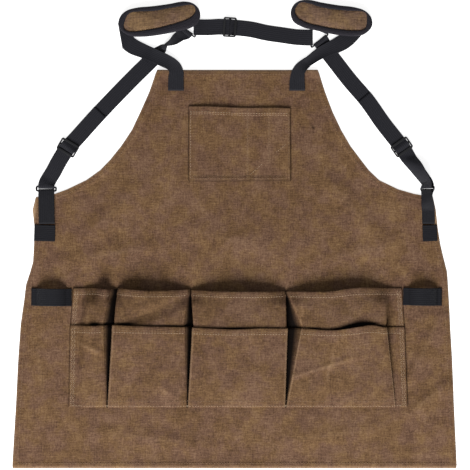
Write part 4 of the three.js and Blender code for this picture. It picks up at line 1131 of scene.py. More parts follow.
@dataclass
class BibPocket:
    """Flat patch pocket on the bib with two pen slots and a stitched-off corner."""

    width: float = 160.0
    height: float = 117.0
    drop: float = 57.0
    aside: float = 8.0
    proud: float = 1.3
    lines: tuple[float, float] = (0.58, 0.79)

    def stand(self, u: Points, v: Points) -> Points:
        """How far the patch stands off the bib, by shares of its width and height."""
        bays = ((0.0, self.lines[0], 0.0, 1.0), (self.lines[0], self.lines[1], 0.15, 0.5),
                (self.lines[1], 1.0, 0.46, 0.45))
        total = np.zeros_like(u)
        for start, end, foot, swell in bays:
            share = np.clip((u - start) / (end - start), 0, 1)
            across = np.sin(share * math.pi) ** 0.5
            up = np.clip((v - foot) / (1 - foot), 0, 1) ** 0.7
            total = np.where((u >= start) & (u <= end), self.proud * swell * across * up, total)
        return total

    def build(self, panel: BodyPanel, finishes: Finishes) -> None:
        """Builds the patch and its stitching."""
        left = self.aside - self.width / 2
        bottom = PANEL_HEIGHT - self.drop - self.height
        u, v = np.meshgrid(np.linspace(0, 1, 110), np.linspace(0, 1, 70))
        x = left + u * self.width + (v - 0.5) * (0.5 - u) * 1.6
        y = bottom + v * self.height - 3.2 * u * v + 0.6 * np.sin(u * 9) * v
        z = panel.rise(x, y) + PANEL_TOP + self.stand(u, v) + 0.22 * (1 + ripple(x, y, 5, 60))
        under = np.stack([x, y, z], axis=2)
        inside = np.minimum(np.minimum(u, 1 - u) * self.width, v * self.height)
        hem = ease((v * self.height - self.height + 11) / 1.5)
        thickness = CLOTH + (HEM - CLOTH) * np.maximum(hem, ease((7 - inside) / 1.5))
        over = under + grid_normals(under) * thickness[:, :, None]
        # pale along the mouth's top from wear; painted shade as a dark line along the sides and foot, and on
        # the rim below
        rub = 0.1 * ease((v - 0.975) / 0.02) - 0.6 * np.exp(-(inside / 0.9) ** 2) * (v < 0.97)
        for place, foot in zip(self.lines, (0.0, 0.26)):
            rub = rub + 0.1 * np.exp(-((u - place) * self.width / 2.0) ** 2) * (v > foot)
        piece = make_cloth("bib_patch", under, over, rub, finishes.canvas, rim=-0.5)
        dress(piece, Slot.CANVAS, "bib_pocket")
        self.sew(ClothFace(over, grid_normals(over)), finishes)

    def sew(self, face: ClothFace, finishes: Finishes) -> None:
        """Sews mouth hem, sides, foot, slot lines and the slanted corner line."""
        rows, columns = [size - 1 for size in face.grid.shape[:2]]
        stitcher = Stitcher(thickness=0.55)
        faint = Stitcher(thickness=0.5)
        wide, pen = self.lines
        beige = [((0.925, 0.01), (0.925, 0.99)), ((0.90, 0.01), (0.90, 0.99)), ((0.03, 0.017), (0.98, 0.017)),
                 ((0.085, 0.603), (0.245, 0.735)), ((0.385, 0.855), (0.51, 0.965))]
        brown = [((0.03, 0.02), (0.03, 0.98)), ((0.065, 0.02), (0.065, 0.98)), ((0.03, 0.983), (0.98, 0.983)),
                 ((0.04, wide), (0.985, wide)), ((0.26, pen), (0.985, pen))]
        for thread, routes in ((stitcher, beige), (faint, brown)):
            for (low_v, low_u), (high_v, high_u) in routes:
                thread.sew(*face.line((low_v * rows, high_v * rows), (low_u * columns, high_u * columns), 80))
        stitcher.finish("bib_patch_stitches", finishes.beige_thread)
        faint.finish("bib_patch_second_stitches", finishes.brown_thread)


# Webbing


class Route:
    """Smooth way through a few points, measured by its length."""

    def __init__(self, points: Sequence[Points]) -> None:
        """Draws a centripetal Catmull-Rom curve through the points."""
        knots = [np.asarray(point, float) for point in points]
        knots = [2 * knots[0] - knots[1], *knots, 2 * knots[-1] - knots[-2]]
        samples = []
        for p0, p1, p2, p3 in zip(knots, knots[1:], knots[2:], knots[3:]):
            t1 = np.linalg.norm(p1 - p0) ** 0.5
            t2 = t1 + np.linalg.norm(p2 - p1) ** 0.5
            t3 = t2 + np.linalg.norm(p3 - p2) ** 0.5
            t = np.linspace(t1, t2, ROUTE_STEPS, endpoint=False)[:, None]
            a1 = (t1 - t) / t1 * p0 + t / t1 * p1
            a2 = (t2 - t) / (t2 - t1) * p1 + (t - t1) / (t2 - t1) * p2
            a3 = (t3 - t) / (t3 - t2) * p2 + (t - t2) / (t3 - t2) * p3
            b1 = (t2 - t) / t2 * a1 + t / t2 * a2
            b2 = (t3 - t) / (t3 - t1) * a2 + (t - t1) / (t3 - t1) * a3
            samples.append((t2 - t) / (t2 - t1) * b1 + (t - t1) / (t2 - t1) * b2)
        self.samples = np.concatenate([*samples, knots[-2][None]])
        self.ways = ways_along(self.samples)
        self.length = float(self.ways[-1])

    def at(self, way: Points | float) -> Points:
        """Flat point or points at a way along."""
        return np.stack([np.interp(way, self.ways, self.samples[:, k]) for k in range(2)], axis=-1)

    def nearest(self, point: Points) -> float:
        """Way along at which the route passes closest to a flat point."""
        return float(self.ways[np.argmin(np.linalg.norm(self.samples - point, axis=1))])

    def heading(self, way: float) -> Points:
        """Flat direction at a way along."""
        return unit(self.at(min(way + 1, self.length)) - self.at(max(way - 1, 0)))


def layer_middle(layer: int) -> float:
    """Height of the middle of a webbing layer that lies on the floor or on other layers."""
    return WEBBING_THICKNESS / 2 + layer * LAYER_STEP


@dataclass
class Station:
    """Place on a strap: its middle, its turn in degrees and the share of its width that shows there."""

    at: Points
    turn: float = 0.0
    narrow: float = 1.0


@dataclass
class Strap:
    """A length of flat webbing laid through stations, with rounded selvedges."""

    name: str
    width: float = WEBBING_WIDTH
    thickness: float = WEBBING_THICKNESS

    def profile(self) -> Points:
        """Cross-section of the webbing: across and up, in millimetres."""
        half, deep = self.width / 2, self.thickness / 2
        top = [(half, 0.35), (half - 0.25, 0.85), (half - 0.9, 1.0), (half - 2.2, 0.9), (half * 0.55, 0.82),
               (half * 0.2, 0.86)]
        over = [(x, y * deep) for x, y in top] + [(-x, y * deep) for x, y in reversed(top)]
        return np.array(over + [(-x, -y) for x, y in over])

    def sweep(self, stations: Sequence[Station], crease: Callable[[int], Points | None] | None = None
              ) -> tuple[Points, list[tuple[int, ...]], Points]:
        """Sweeps the cross-section through the stations.

        Args:
            stations: Places along the strap.
            crease: Optional half widths at stations that a slanted fold passes.

        Returns:
            Points, faces and the place of each point on the webbing.
        """
        profile = self.profile()
        size = len(profile)
        middles = np.array([station.at for station in stations])
        tangents = unit(np.gradient(middles, axis=0))
        ways = ways_along(middles)
        level: Points | None = None
        rings, uv = [], []
        across_way = ways_along(profile)
        for number, (station, tangent) in enumerate(zip(stations, tangents)):
            flat = np.cross(UP, tangent)
            if level is None:
                level = unit(flat)
            if np.linalg.norm(flat) > 0.3:
                level = flat * (1 if np.dot(flat, level) >= 0 else -1)
            level = unit(level - tangent * np.dot(level, tangent))
            turn = math.radians(station.turn)
            across = level * math.cos(turn) + np.cross(tangent, level) * math.sin(turn)
            face = np.cross(tangent, across)
            slant = crease(number) if crease else None
            if slant is not None:
                across = slant
            cup = (1 - station.narrow) * self.width * 0.32
            for x, y in profile:
                bent = y + cup * ((2 * x / self.width) ** 2 - 0.4)
                rings.append(station.at + across * x * station.narrow + face * bent)
            uv += [(ways[number], way) for way in across_way]
        faces = []
        for number in range(len(stations) - 1):
            low, high = number * size, (number + 1) * size
            faces += [(low + k, low + (k + 1) % size, high + (k + 1) % size, high + k) for k in range(size)]
        faces.append(tuple(range(size - 1, -1, -1)))
        faces.append(tuple((len(stations) - 1) * size + k for k in range(size)))
        return np.array(rings), faces, np.array(uv)

    def build(self, stations: Sequence[Station], material: Material, node: str,
              crease: Callable[[int], Points | None] | None = None, twist: RingTwist | None = None) -> None:
        """Builds the strap, faces out, and ties it to its node."""
        points, faces, uv = self.sweep(stations, crease)
        points = twist.turn(points) if twist else points
        piece = make_piece(self.name, points, faces, material, uv=uv)
        face_out(piece)
        dress(piece, Slot.WEBBING, node)


@contextmanager
def editing(piece: bpy.types.Object) -> Iterator[None]:
    """Opens one piece in edit mode with its whole mesh selected, and leaves it active and selected."""
    bpy.ops.object.select_all(action="DESELECT")
    bpy.context.view_layer.objects.active = piece
    piece.select_set(True)
    bpy.ops.object.mode_set(mode="EDIT")
    bpy.ops.mesh.select_all(action="SELECT")
    yield
    bpy.ops.object.mode_set(mode="OBJECT")


def face_out(piece: bpy.types.Object) -> None:
    """Turns the faces of a closed mesh outwards."""
    with editing(piece):
        bpy.ops.mesh.normals_make_consistent(inside=False)
    piece.select_set(False)


def lay(route: Route, heights: Heights, turns: Heights = ((0, 0),), narrows: Heights = ((0, 1),)
        ) -> list[Station]:
    """Lays a strap layer along a route.

    Args:
        route: Flat way of the strap.
        heights: Way and height of its middle, in order.
        turns: Way and turn in degrees.
        narrows: Way and share of the width that shows where the webbing cups.

    Returns:
        Stations from the first height's way to the last.
    """
    ways, levels = np.array(heights, float).T
    count = max(3, round((ways[-1] - ways[0]) / STATION_SPACING))
    places = np.linspace(ways[0], ways[-1], count)
    level = np.interp(places, ways, levels)
    smooth = np.concatenate([[level[0]], (level[:-2] + 2 * level[1:-1] + level[2:]) / 4, [level[-1]]])
    turn = np.interp(places, *np.array(turns, float).T)
    narrow = np.interp(places, *np.array(narrows, float).T)
    flat = route.at(np.clip(places, 0, route.length))
    on_edge = np.abs(np.sin(np.radians(turn)))
    standing = on_edge * WEBBING_WIDTH / 2 * narrow + (1 - narrow) * WEBBING_WIDTH * 0.13
    return [Station(np.array([*flat[k], smooth[k] + standing[k]]), float(turn[k]), float(narrow[k]))
            for k in range(count)]


def bar_height(wire: float) -> float:
    """Height of a ring's bar with one layer of webbing below it."""
    return WEBBING_THICKNESS + CLEARANCE + wire / 2


def wrap_radius(wire: float) -> float:
    """Radius of the webbing's middle round a bar."""
    return wire / 2 + CLEARANCE + WEBBING_THICKNESS / 2


def over_bar(wire: float) -> float:
    """Height of the layer that lies over a bar."""
    return bar_height(wire) + wrap_radius(wire)


def wrap(route: Route, way: float, outward_sign: int, wire: float, turn: float = 0.0) -> list[Station]:
    """Half turn round a ring bar, from its upper side to its lower side."""
    centre = np.array([*route.at(way), bar_height(wire)])
    outward = np.array([*route.heading(way) * outward_sign, 0.0])
    radius = wrap_radius(wire)
    return [Station(centre + (outward * math.sin(angle) + UP * math.cos(angle)) * radius, turn)
            for angle in np.radians(range(15, 180, 15))]


def slider_hump(place: float, layer: int) -> list[tuple[float, float]]:
    """Heights of a layer that rises over a slider's low middle bar."""
    flat = layer_middle(layer)
    raised = flat + 3.0 + CLEARANCE
    bar, slot = 3.5, 5.25
    slot_end = bar / 2 + slot - 3 * CLEARANCE
    return [(place - slot_end, flat), (place - bar / 2 - CLEARANCE, raised),
            (place + bar / 2 + CLEARANCE, raised), (place + slot_end, flat)]


def over_bar_layer(end: float, wire: float, extra: Heights = ()) -> list[tuple[float, float]]:
    """Heights of a layer that lies over a bar and comes down onto the layer below it."""
    descent = 9.0
    stacked = layer_middle(1)
    high = over_bar(wire)
    rows = [(0.0, high), (wire, high)]
    landing = wire + descent
    if end > landing:
        return [*rows, (landing, stacked), *extra, (end, stacked)]
    return [*rows, (end, high + (stacked - high) * (end - wire) / descent)]


@dataclass(frozen=True)
class PadPlace:
    """Place of a pad: its middle, its turn, and its ring's upright bar, in from the middle and down."""

    aside: float
    rise: float
    turn: float
    ring_reach: float
    ring_drop: float


@dataclass(frozen=True)
class RingTwist:
    """Stands the right strap, ring and tab on edge round their own way, where they meet at the waist.

    Each row holds a height over the hem, a turn in degrees, the share of the width that shows and a
    shift outwards.
    """

    way: Route
    axis: float
    reach: float = 16.6
    rows: tuple[tuple[float, float, float, float], ...] = (
        (385, 0, 0.79, 4.0), (408, 4, 0.80, 3.2), (417, 34, 0.84, 2.2), (427, 50, 0.88, 1.0),
        (438, 52, 0.90, 0.0), (452, 52, 0.92, 0.0), (460, 50, 0.95, 0.0), (468, 44, 1.0, 0.0),
        (476, 34, 1.0, 0.0), (484, 18, 1.0, 0.0), (491, 0, 1.0, 0.0))

    def turn(self, points: Points) -> Points:
        """Turns points of the layout, level by level."""
        rows = np.array(self.rows)
        degrees, share, shift = [np.interp(points[:, 1], rows[:, 0], rows[:, k]) for k in (1, 2, 3)]
        angle = np.radians(degrees)
        middle = np.interp(points[:, 1], self.way.samples[:, 1], self.way.samples[:, 0])
        aside = (points[:, 0] - middle) * share
        above = points[:, 2] - self.axis
        x = middle + shift + aside * np.cos(angle) - above * np.sin(angle)
        z = self.axis + (aside + self.reach) * np.sin(angle) + above * np.cos(angle)
        return np.column_stack([x, points[:, 1], z])


@dataclass
class Harness:
    """Webbing harness: side straps, bib straps, back strap, tabs, patches, rings and sliders."""

    side_wire: float = 3.0
    back_wire: float = 2.5
    side_pitch: float = 6.4
    side_corner: float = 3.0
    back_corner: float = 1.8
    slant: float = 38.0
    bar_tilt: dict[Side, float] = by_side(3.5, -3.5)
    slider_turn: dict[Side, float] = by_side(10.0, 0.0)
    slider_shift: dict[Side, tuple[float, float]] = by_side((-2.5, -3.3), (0.0, 0.0))
    side_tail: dict[Side, float] = by_side(76.0, 99.0)
    top_tail: float = 5.0
    back_slider_place: float = 54.5
    end_tail: float = 16.0
    tab_length: float = 52.0
    square_run: float = 5.0
    waist_corner: float = 0.681
    pads: dict[Side, PadPlace] = by_side(
        PadPlace(-0.1693 * PANEL_WIDTH, 0.1271 * PANEL_HEIGHT, 7.4, 0.4346 * PAD_LENGTH, 0.2447 * PAD_WIDTH),
        PadPlace(0.2184 * PANEL_WIDTH, 0.1298 * PANEL_HEIGHT, -9, 0.2462 * PAD_LENGTH, 0.6255 * PAD_WIDTH))
    ring_inset: dict[Side, float] = by_side(16.0, 9.5)
    patch_inset: dict[Side, float] = by_side(15.5, 13.0)
    patch_reach: dict[Side, float] = by_side(16.5, 11.5)
    side_ways: dict[Side, Heights] = by_side(
        # along and aside as shares of the straight way from the side ring to the pad's ring
        ((0.080, 0.024), (0.120, 0.034), (0.195, 0.047), (0.277, 0.047), (0.442, 0.046),
         (0.670, 0.037), (0.775, 0.030), (0.837, 0.028), (0.893, 0.023), (0.935, 0.010)),
        ((0.075, -0.006), (0.120, -0.009), (0.177, -0.012), (0.243, -0.019), (0.322, -0.017),
         (0.425, -0.013), (0.579, -0.015), (0.729, -0.003), (0.846, 0.001), (0.925, 0.003)))
    bib_ways: dict[Side, Heights] = by_side(
        # steps in millimetres from the strap's middle at the bib's edge
        ((0.6, -3.0), (-1.4, 3.4), (-6.4, 9.2), (-16.6, 14.9), (-30.8, 21.2), (-50.6, 30.3), (-69.5, 39.0)),
        ((1.4, -4.4), (5.0, 2.7), (11.7, 9.6), (22.9, 17.9), (37.1, 27.6), (61.6, 39.2), (78.2, 49.0)))
    bib_narrows: dict[Side, Heights] = by_side(
        ((0, 0.98), (14, 0.9), (26, 0.84), (44, 0.88), (74, 0.9), (92, 1.0)),
        ((0, 0.92), (12, 0.84), (24, 0.72), (36, 0.62), (50, 0.7), (74, 0.88), (92, 1.0)))
    back_way: Heights = (
        (0.126, 0.012), (0.211, 0.024), (0.302, 0.027), (0.384, 0.029), (0.488, 0.025), (0.610, 0.009),
        (0.761, 0.0), (0.880, -0.006))
    # aside on the bib's edge, in from the pad's outer end, down from its middle
    bib_places: dict[Side, tuple[float, float, float]] = by_side((-92.4, 4.0, 25.0), (98.8, 17.0, 6.0))
    # the left side strap before the pad's ring: way left with its turn, and with its width
    twist: Heights = ((47, 0), (43, -40), (38, -90), (33, -122), (26, -152), (16, -176), (0, -180))
    twist_narrows: Heights = (
        (64, 1), (52, 0.7), (44, 0.45), (38, 0.36), (32, 0.5), (22, 0.66), (12, 0.7), (4, 1))

    def route(self, start: Points, end: Points, table: Sequence[tuple[float, float]],
              leaving: Points | None = None, meeting: Points | None = None) -> Route:
        """Route between two ends through shares of the straight way, square to the bars at its ends."""
        way = end - start
        aside = np.array([-way[1], way[0]])
        inner = [start + way * along + aside * off for along, off in table]
        if leaving is not None:
            inner.insert(0, start + leaving * self.square_run)
        if meeting is not None:
            inner.append(end - meeting * self.square_run)
        return Route([start, *inner, end])

    def back_ring(self, side: Side) -> dict[str, Points]:
        """Corners and bars of the triangular ring under a pad's end."""
        flip = -side.value
        place = self.pads[side]
        angle = math.radians(self.slant)
        corner_angle = math.pi / 2 - angle
        setback = self.back_corner / math.tan(corner_angle / 2)
        half = WEBBING_WIDTH / 2 + setback + CLEARANCE
        reach = wrap_radius(self.back_wire) + WEBBING_THICKNESS / 2
        slant_start = (reach * (1 + math.cos(corner_angle)) + CLEARANCE) / math.sin(corner_angle)
        bar = np.array([place.aside + flip * place.ring_reach, PANEL_HEIGHT + place.rise - place.ring_drop])
        foot, head = bar - (0, half), bar + (0, half)
        slant = np.array([-flip * math.cos(angle), math.sin(angle)])
        far = foot + slant * (slant_start + WEBBING_WIDTH + setback + CLEARANCE)
        return {"bar": bar, "corners": np.array([foot, head, far]),
                "middle": foot + slant * (slant_start + WEBBING_WIDTH / 2),
                "inward": np.array([flip * math.sin(angle), math.cos(angle)])}

    def side_ring(self, side: Side, panel: BodyPanel) -> dict[str, Points]:
        """Corners and bars of the rectangular ring at the waist."""
        height = self.waist_corner * PANEL_HEIGHT
        corner = np.array([panel.edge_at(side, height), height])
        tab_bar = corner + (-side.value * self.ring_inset[side], 10.0)
        strap_bar = tab_bar + (0, self.side_pitch)
        half = WEBBING_WIDTH / 2 + self.side_corner + CLEARANCE
        tilt = math.radians(self.bar_tilt[side])
        along = np.array([math.cos(tilt), -math.sin(tilt)]) * half
        corners = np.array([tab_bar - (half, 0), tab_bar + (half, 0), strap_bar + along, strap_bar - along])
        return {"tab_bar": tab_bar, "strap_bar": strap_bar, "corners": corners,
                "leaving": np.array([math.sin(tilt), math.cos(tilt)])}

    def build(self, panel: BodyPanel, finishes: Finishes) -> None:
        """Builds every strap, ring and slider of the harness."""
        for side in Side:
            ring = self.side_ring(side, panel)
            top = self.back_ring(side)
            way = self.route(ring["strap_bar"], top["middle"], self.side_ways[side],
                             ring["leaving"], top["inward"])
            twist = RingTwist(way, bar_height(self.side_wire)) if side is Side.RIGHT else None
            node = f"side_slider_{side.word}"
            middle = np.mean(np.array(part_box(node)), axis=0)[:2] / MM - (0.0, frame_offset())
            slider = way.nearest(middle + self.slider_shift[side])
            shift = way.at(slider) - middle
            self.side_strap(side, way, slider, twist, finishes)
            self.side_tab(side, ring, twist, finishes)
            self.side_patch(side, ring, panel, finishes)
            self.bib_strap(side, finishes)
            bend_ring(f"waist_ring_{side.word}", ring["corners"], self.side_wire, self.side_corner,
                      finishes.wire, f"side_ring_{side.word}", twist)
            bend_ring(f"pad_ring_{side.word}", top["corners"], self.back_wire, self.back_corner,
                      finishes.wire, f"back_ring_{side.word}")
            mould_slider(f"side_adjuster_{side.word}", node, finishes.plastic,
                         self.slider_turn[side], tuple(shift))
        self.back_strap(finishes)
        mould_slider("back_adjuster", "back_slider", finishes.plastic)

    def side_strap(self, side: Side, way: Route, slider: float, twist: RingTwist | None, finishes: Finishes
                   ) -> None:
        """Tail on top, round the waist ring, through the slider and up to the pad's ring."""
        length = way.length
        tail = over_bar_layer(self.side_tail[side] + slider, self.side_wire, slider_hump(slider, 1))
        flat = layer_middle(0)
        main = [(0, flat), *slider_hump(slider, 0), (length, flat)]
        turns: list[tuple[float, float]] = [(0, 0)]
        narrows: list[tuple[float, float]] = [(0, 1)]
        if side is Side.LEFT:
            turns += [(length - left, turn) for left, turn in self.twist]
            narrows += [(length - left, share) for left, share in self.twist_narrows]
        final = turns[-1][1]
        top_tail = [(length - at, z) for at, z in reversed(over_bar_layer(self.top_tail, self.back_wire))]
        last = lay(way, top_tail)[::-1]
        stations = [*lay(way, tail)[::-1], *wrap(way, 0, -1, self.side_wire), *lay(way, main, turns, narrows),
                    *wrap(way, length, 1, self.back_wire, final)[::-1],
                    *[Station(station.at, final) for station in last]]
        Strap(f"side_webbing_{side.word}").build(
            stations, finishes.webbing, f"side_strap_{side.word}", twist=twist)

    def side_tab(self, side: Side, ring: dict[str, Points], twist: RingTwist | None, finishes: Finishes
                 ) -> None:
        """Webbing folded round the waist ring and sewn to the panel."""
        lean = -side.value * 1.0
        way = Route([ring["tab_bar"], ring["tab_bar"] + (lean / 2, -self.tab_length / 2),
                     ring["tab_bar"] + (lean, -self.tab_length)])
        lower = [(0, layer_middle(0)), (1, layer_middle(0)), (5, ON_HEM), (way.length, ON_HEM)]
        high = over_bar(self.side_wire)
        upper = [(0, high), (1, high), (9, ON_HEM + LAYER_STEP), (way.length, ON_HEM + LAYER_STEP)]
        stations = [*lay(way, upper)[::-1], *wrap(way, 0, -1, self.side_wire), *lay(way, lower)]
        Strap(f"waist_tab_{side.word}").build(
            stations, finishes.shaded_webbing, f"side_tab_{side.word}", twist=twist)

    def side_patch(self, side: Side, ring: dict[str, Points], panel: BodyPanel, finishes: Finishes) -> None:
        """Short flat piece of webbing below the tab."""
        y = ring["tab_bar"][1] - self.tab_length - CLOTH - 13.0
        x = panel.edge_at(side, y) - side.value * self.patch_inset[side]
        reach = self.patch_reach[side]
        stations = [Station(np.array([x + step, y + 0.03 * step * side.value, ON_HEM]))
                    for step in np.linspace(-reach, reach, 14)]
        Strap(f"waist_patch_{side.word}", width=25.6).build(
            stations, finishes.shaded_webbing, f"side_patch_{side.word}")

    def bib_strap(self, side: Side, finishes: Finishes) -> None:
        """Sewn to the bib's top hem, over the side strap and under the pad's outer end."""
        aside, under_pad, drop = self.bib_places[side]
        place = self.pads[side]
        start = np.array([aside, PANEL_HEIGHT])
        end = np.array([place.aside + side.value * (65 - under_pad), PANEL_HEIGHT + place.rise - drop])
        way = Route([start - (0, 14), *[start + step for step in self.bib_ways[side]], end])
        narrows = self.bib_narrows[side]
        first = narrows[0][1]
        sewn = [Station(np.array([start[0], start[1] - down, ON_HEM]), 0.0, 1 + (first - 1) * (1 - down / 32))
                for down in np.arange(32, 15, -2.6)]
        crossing = layer_middle(3) if side is Side.LEFT else layer_middle(1)
        heights = [(1, ON_HEM), (20, ON_HEM), (30, crossing), (60, crossing), (74, layer_middle(1)),
                   (way.length, layer_middle(1))]
        stations = [*sewn, *lay(way, heights, narrows=narrows)]
        creases: dict[int, Points] = {}
        if side is Side.LEFT:
            stations, creases = self.pad_fold(way, stations)
        Strap(f"bib_webbing_{side.word}").build(
            stations, finishes.webbing, f"bib_strap_{side.word}", crease=creases.get)

    def pad_fold(self, way: Route, stations: list[Station]) -> tuple[list[Station], dict[int, Points]]:
        """Slanted flat fold at the end of the left bib strap, with its short tail under the pad."""
        lean, tail, run, bulge = math.radians(10.2), 30.0, 17.0, 0.8
        end = way.at(way.length)
        into = way.heading(way.length)
        line = np.array([math.sin(lean), -math.cos(lean)])
        cosine = float(np.dot(line, into))
        out_of = line * 2 * cosine - into
        slant = line / math.sqrt(1 - cosine * cosine)
        normal = np.array([-into[1], into[0]])
        slant = slant * np.sign(np.dot(slant, normal))
        outward = unit(into - out_of)
        stations = [station for station in stations if np.linalg.norm(station.at[:2] - end) > run]
        square = np.array([-out_of[1], out_of[0]])
        square = square * np.sign(np.dot(square, slant))
        creases: dict[int, Points] = {}

        def add(point: Points, z: float, across: Points) -> None:
            """Adds a station of the fold with its own direction across."""
            creases[len(stations)] = np.array([*across, 0.0])
            stations.append(Station(np.array([*point, z])))

        for part in np.linspace(0, 1, 6):
            across = normal * (1 - part) + slant * part
            add(end - into * run * (1 - part), layer_middle(1), across)
        add(end + outward * bulge, (layer_middle(0) + layer_middle(1)) / 2, slant)
        for part in np.linspace(0, 1, 6):
            across = slant * (1 - part) + square * part
            add(end + out_of * (1 + (run - 1) * part), layer_middle(0), across)
        add(end + out_of * tail, layer_middle(0), square)
        return stations, creases

    def back_strap(self, finishes: Finishes) -> None:
        """Doubled from the left ring to its slider, single from there to the right ring."""
        left, right = self.back_ring(Side.LEFT)["bar"], self.back_ring(Side.RIGHT)["bar"]
        way = self.route(left, right, self.back_way, np.array([1.0, 0.0]), np.array([1.0, 0.0]))
        length, place, wire = way.length, self.back_slider_place, self.back_wire
        hump = slider_hump(place, 1)[:2]
        tail = [(0, over_bar(wire)), (wire, over_bar(wire)), (wire + 9, layer_middle(1)), *hump,
                (place, hump[-1][1])]
        under = length - self.end_tail
        main = [(0, layer_middle(0)), *slider_hump(place, 0), (under - 7, layer_middle(0)),
                (under - 1, layer_middle(1)), (length - wire - 6, layer_middle(1)),
                (length - wire / 2, over_bar(wire)), (length, over_bar(wire))]
        end_tail = [(under, layer_middle(0)), (length, layer_middle(0))]
        stations = [*lay(way, tail)[::-1], *wrap(way, 0, -1, wire), *lay(way, main),
                    *wrap(way, length, 1, wire), *lay(way, end_tail)[::-1]]
        Strap("back_webbing").build(stations, finishes.webbing, "back_strap")


def bend_ring(name: str, corners: Points, wire: float, corner_radius: float, material: Material,
              node: str, twist: RingTwist | None = None) -> None:
    """Bends round wire into a flat ring with rounded corners.

    Args:
        name: Name of the piece.
        corners: Corners of the wire's middle line, in the layout.
        wire: Diameter of the wire.
        corner_radius: Radius of its bends.
        material: Finish.
        node: CAD node that the ring stands for.
        twist: Turn of the whole ring with its strap.
    """
    points = np.column_stack([corners, np.full(len(corners), bar_height(wire))])
    with editing(make_piece(name, points, [range(len(corners))], material)):
        bpy.ops.mesh.bevel(offset_type="WIDTH", offset=corner_radius * MM * 1.4, segments=8,
                           affect="VERTICES")
        bpy.ops.mesh.select_all(action="SELECT")
        bpy.ops.mesh.delete(type="ONLY_FACE")
    bpy.ops.object.convert(target="CURVE")
    curve = bpy.context.view_layer.objects.active
    curve.data.bevel_depth = wire / 2 * MM
    curve.data.bevel_resolution = 4
    curve.data.use_fill_caps = False
    bpy.ops.object.convert(target="MESH")
    ring = bpy.context.view_layer.objects.active
    ring.data.shade_smooth()
    ring.data.materials.clear()
    ring.data.materials.append(material)
    if twist:
        offset = np.array([0.0, frame_offset(), 0.0])
        places = np.array([vertex.co for vertex in ring.data.vertices]) / MM - offset
        ring.data.vertices.foreach_set("co", ((twist.turn(places) + offset) * MM).ravel())
        ring.data.update()
    face_out(ring)
    dress(ring, Slot.WIRE, node)


def mould_slider(name: str, node: str, material: Material, turn: float = 0.0,
                 shift: tuple[float, float] = (0.0, 0.0)) -> None:
    """Moulds a three-bar slider: the CAD shape merged, with the softly rounded edges of a moulding.

    Args:
        name: Name of the piece.
        node: CAD node whose shape it takes.
        material: Finish.
        turn: Turn to the left with its strap, in degrees.
        shift: Step with its strap, in millimetres.
    """
    source = bpy.data.objects[node]
    mesh = source.data.copy()
    mesh.name = name
    low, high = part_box(node)
    middle = Vector(((low[0] + high[0]) / 2, (low[1] + high[1]) / 2, 0.0))
    step = Vector((shift[0] * MM, shift[1] * MM, 0.0))
    mesh.transform(Matrix.Translation(middle + step) @ Matrix.Rotation(math.radians(turn), 4, "Z")
                   @ Matrix.Translation(-middle))
    piece = put(name, mesh)
    mesh.materials.clear()
    mesh.materials.append(material)
    with editing(piece):
        bpy.ops.mesh.remove_doubles(threshold=0.02 * MM)
        bpy.ops.mesh.dissolve_limited(angle_limit=math.radians(2))
    bevel = piece.modifiers.new("moulded_edges", "BEVEL")
    bevel.width = 0.55 * MM
    bevel.segments = 3
    bevel.limit_method = "ANGLE"
    bevel.angle_limit = math.radians(40)
    bpy.ops.object.modifier_apply(modifier=bevel.name)
    bpy.ops.object.shade_smooth_by_angle(angle=math.radians(35))
    dress(piece, Slot.PLASTIC, node)


# Shoulder pads


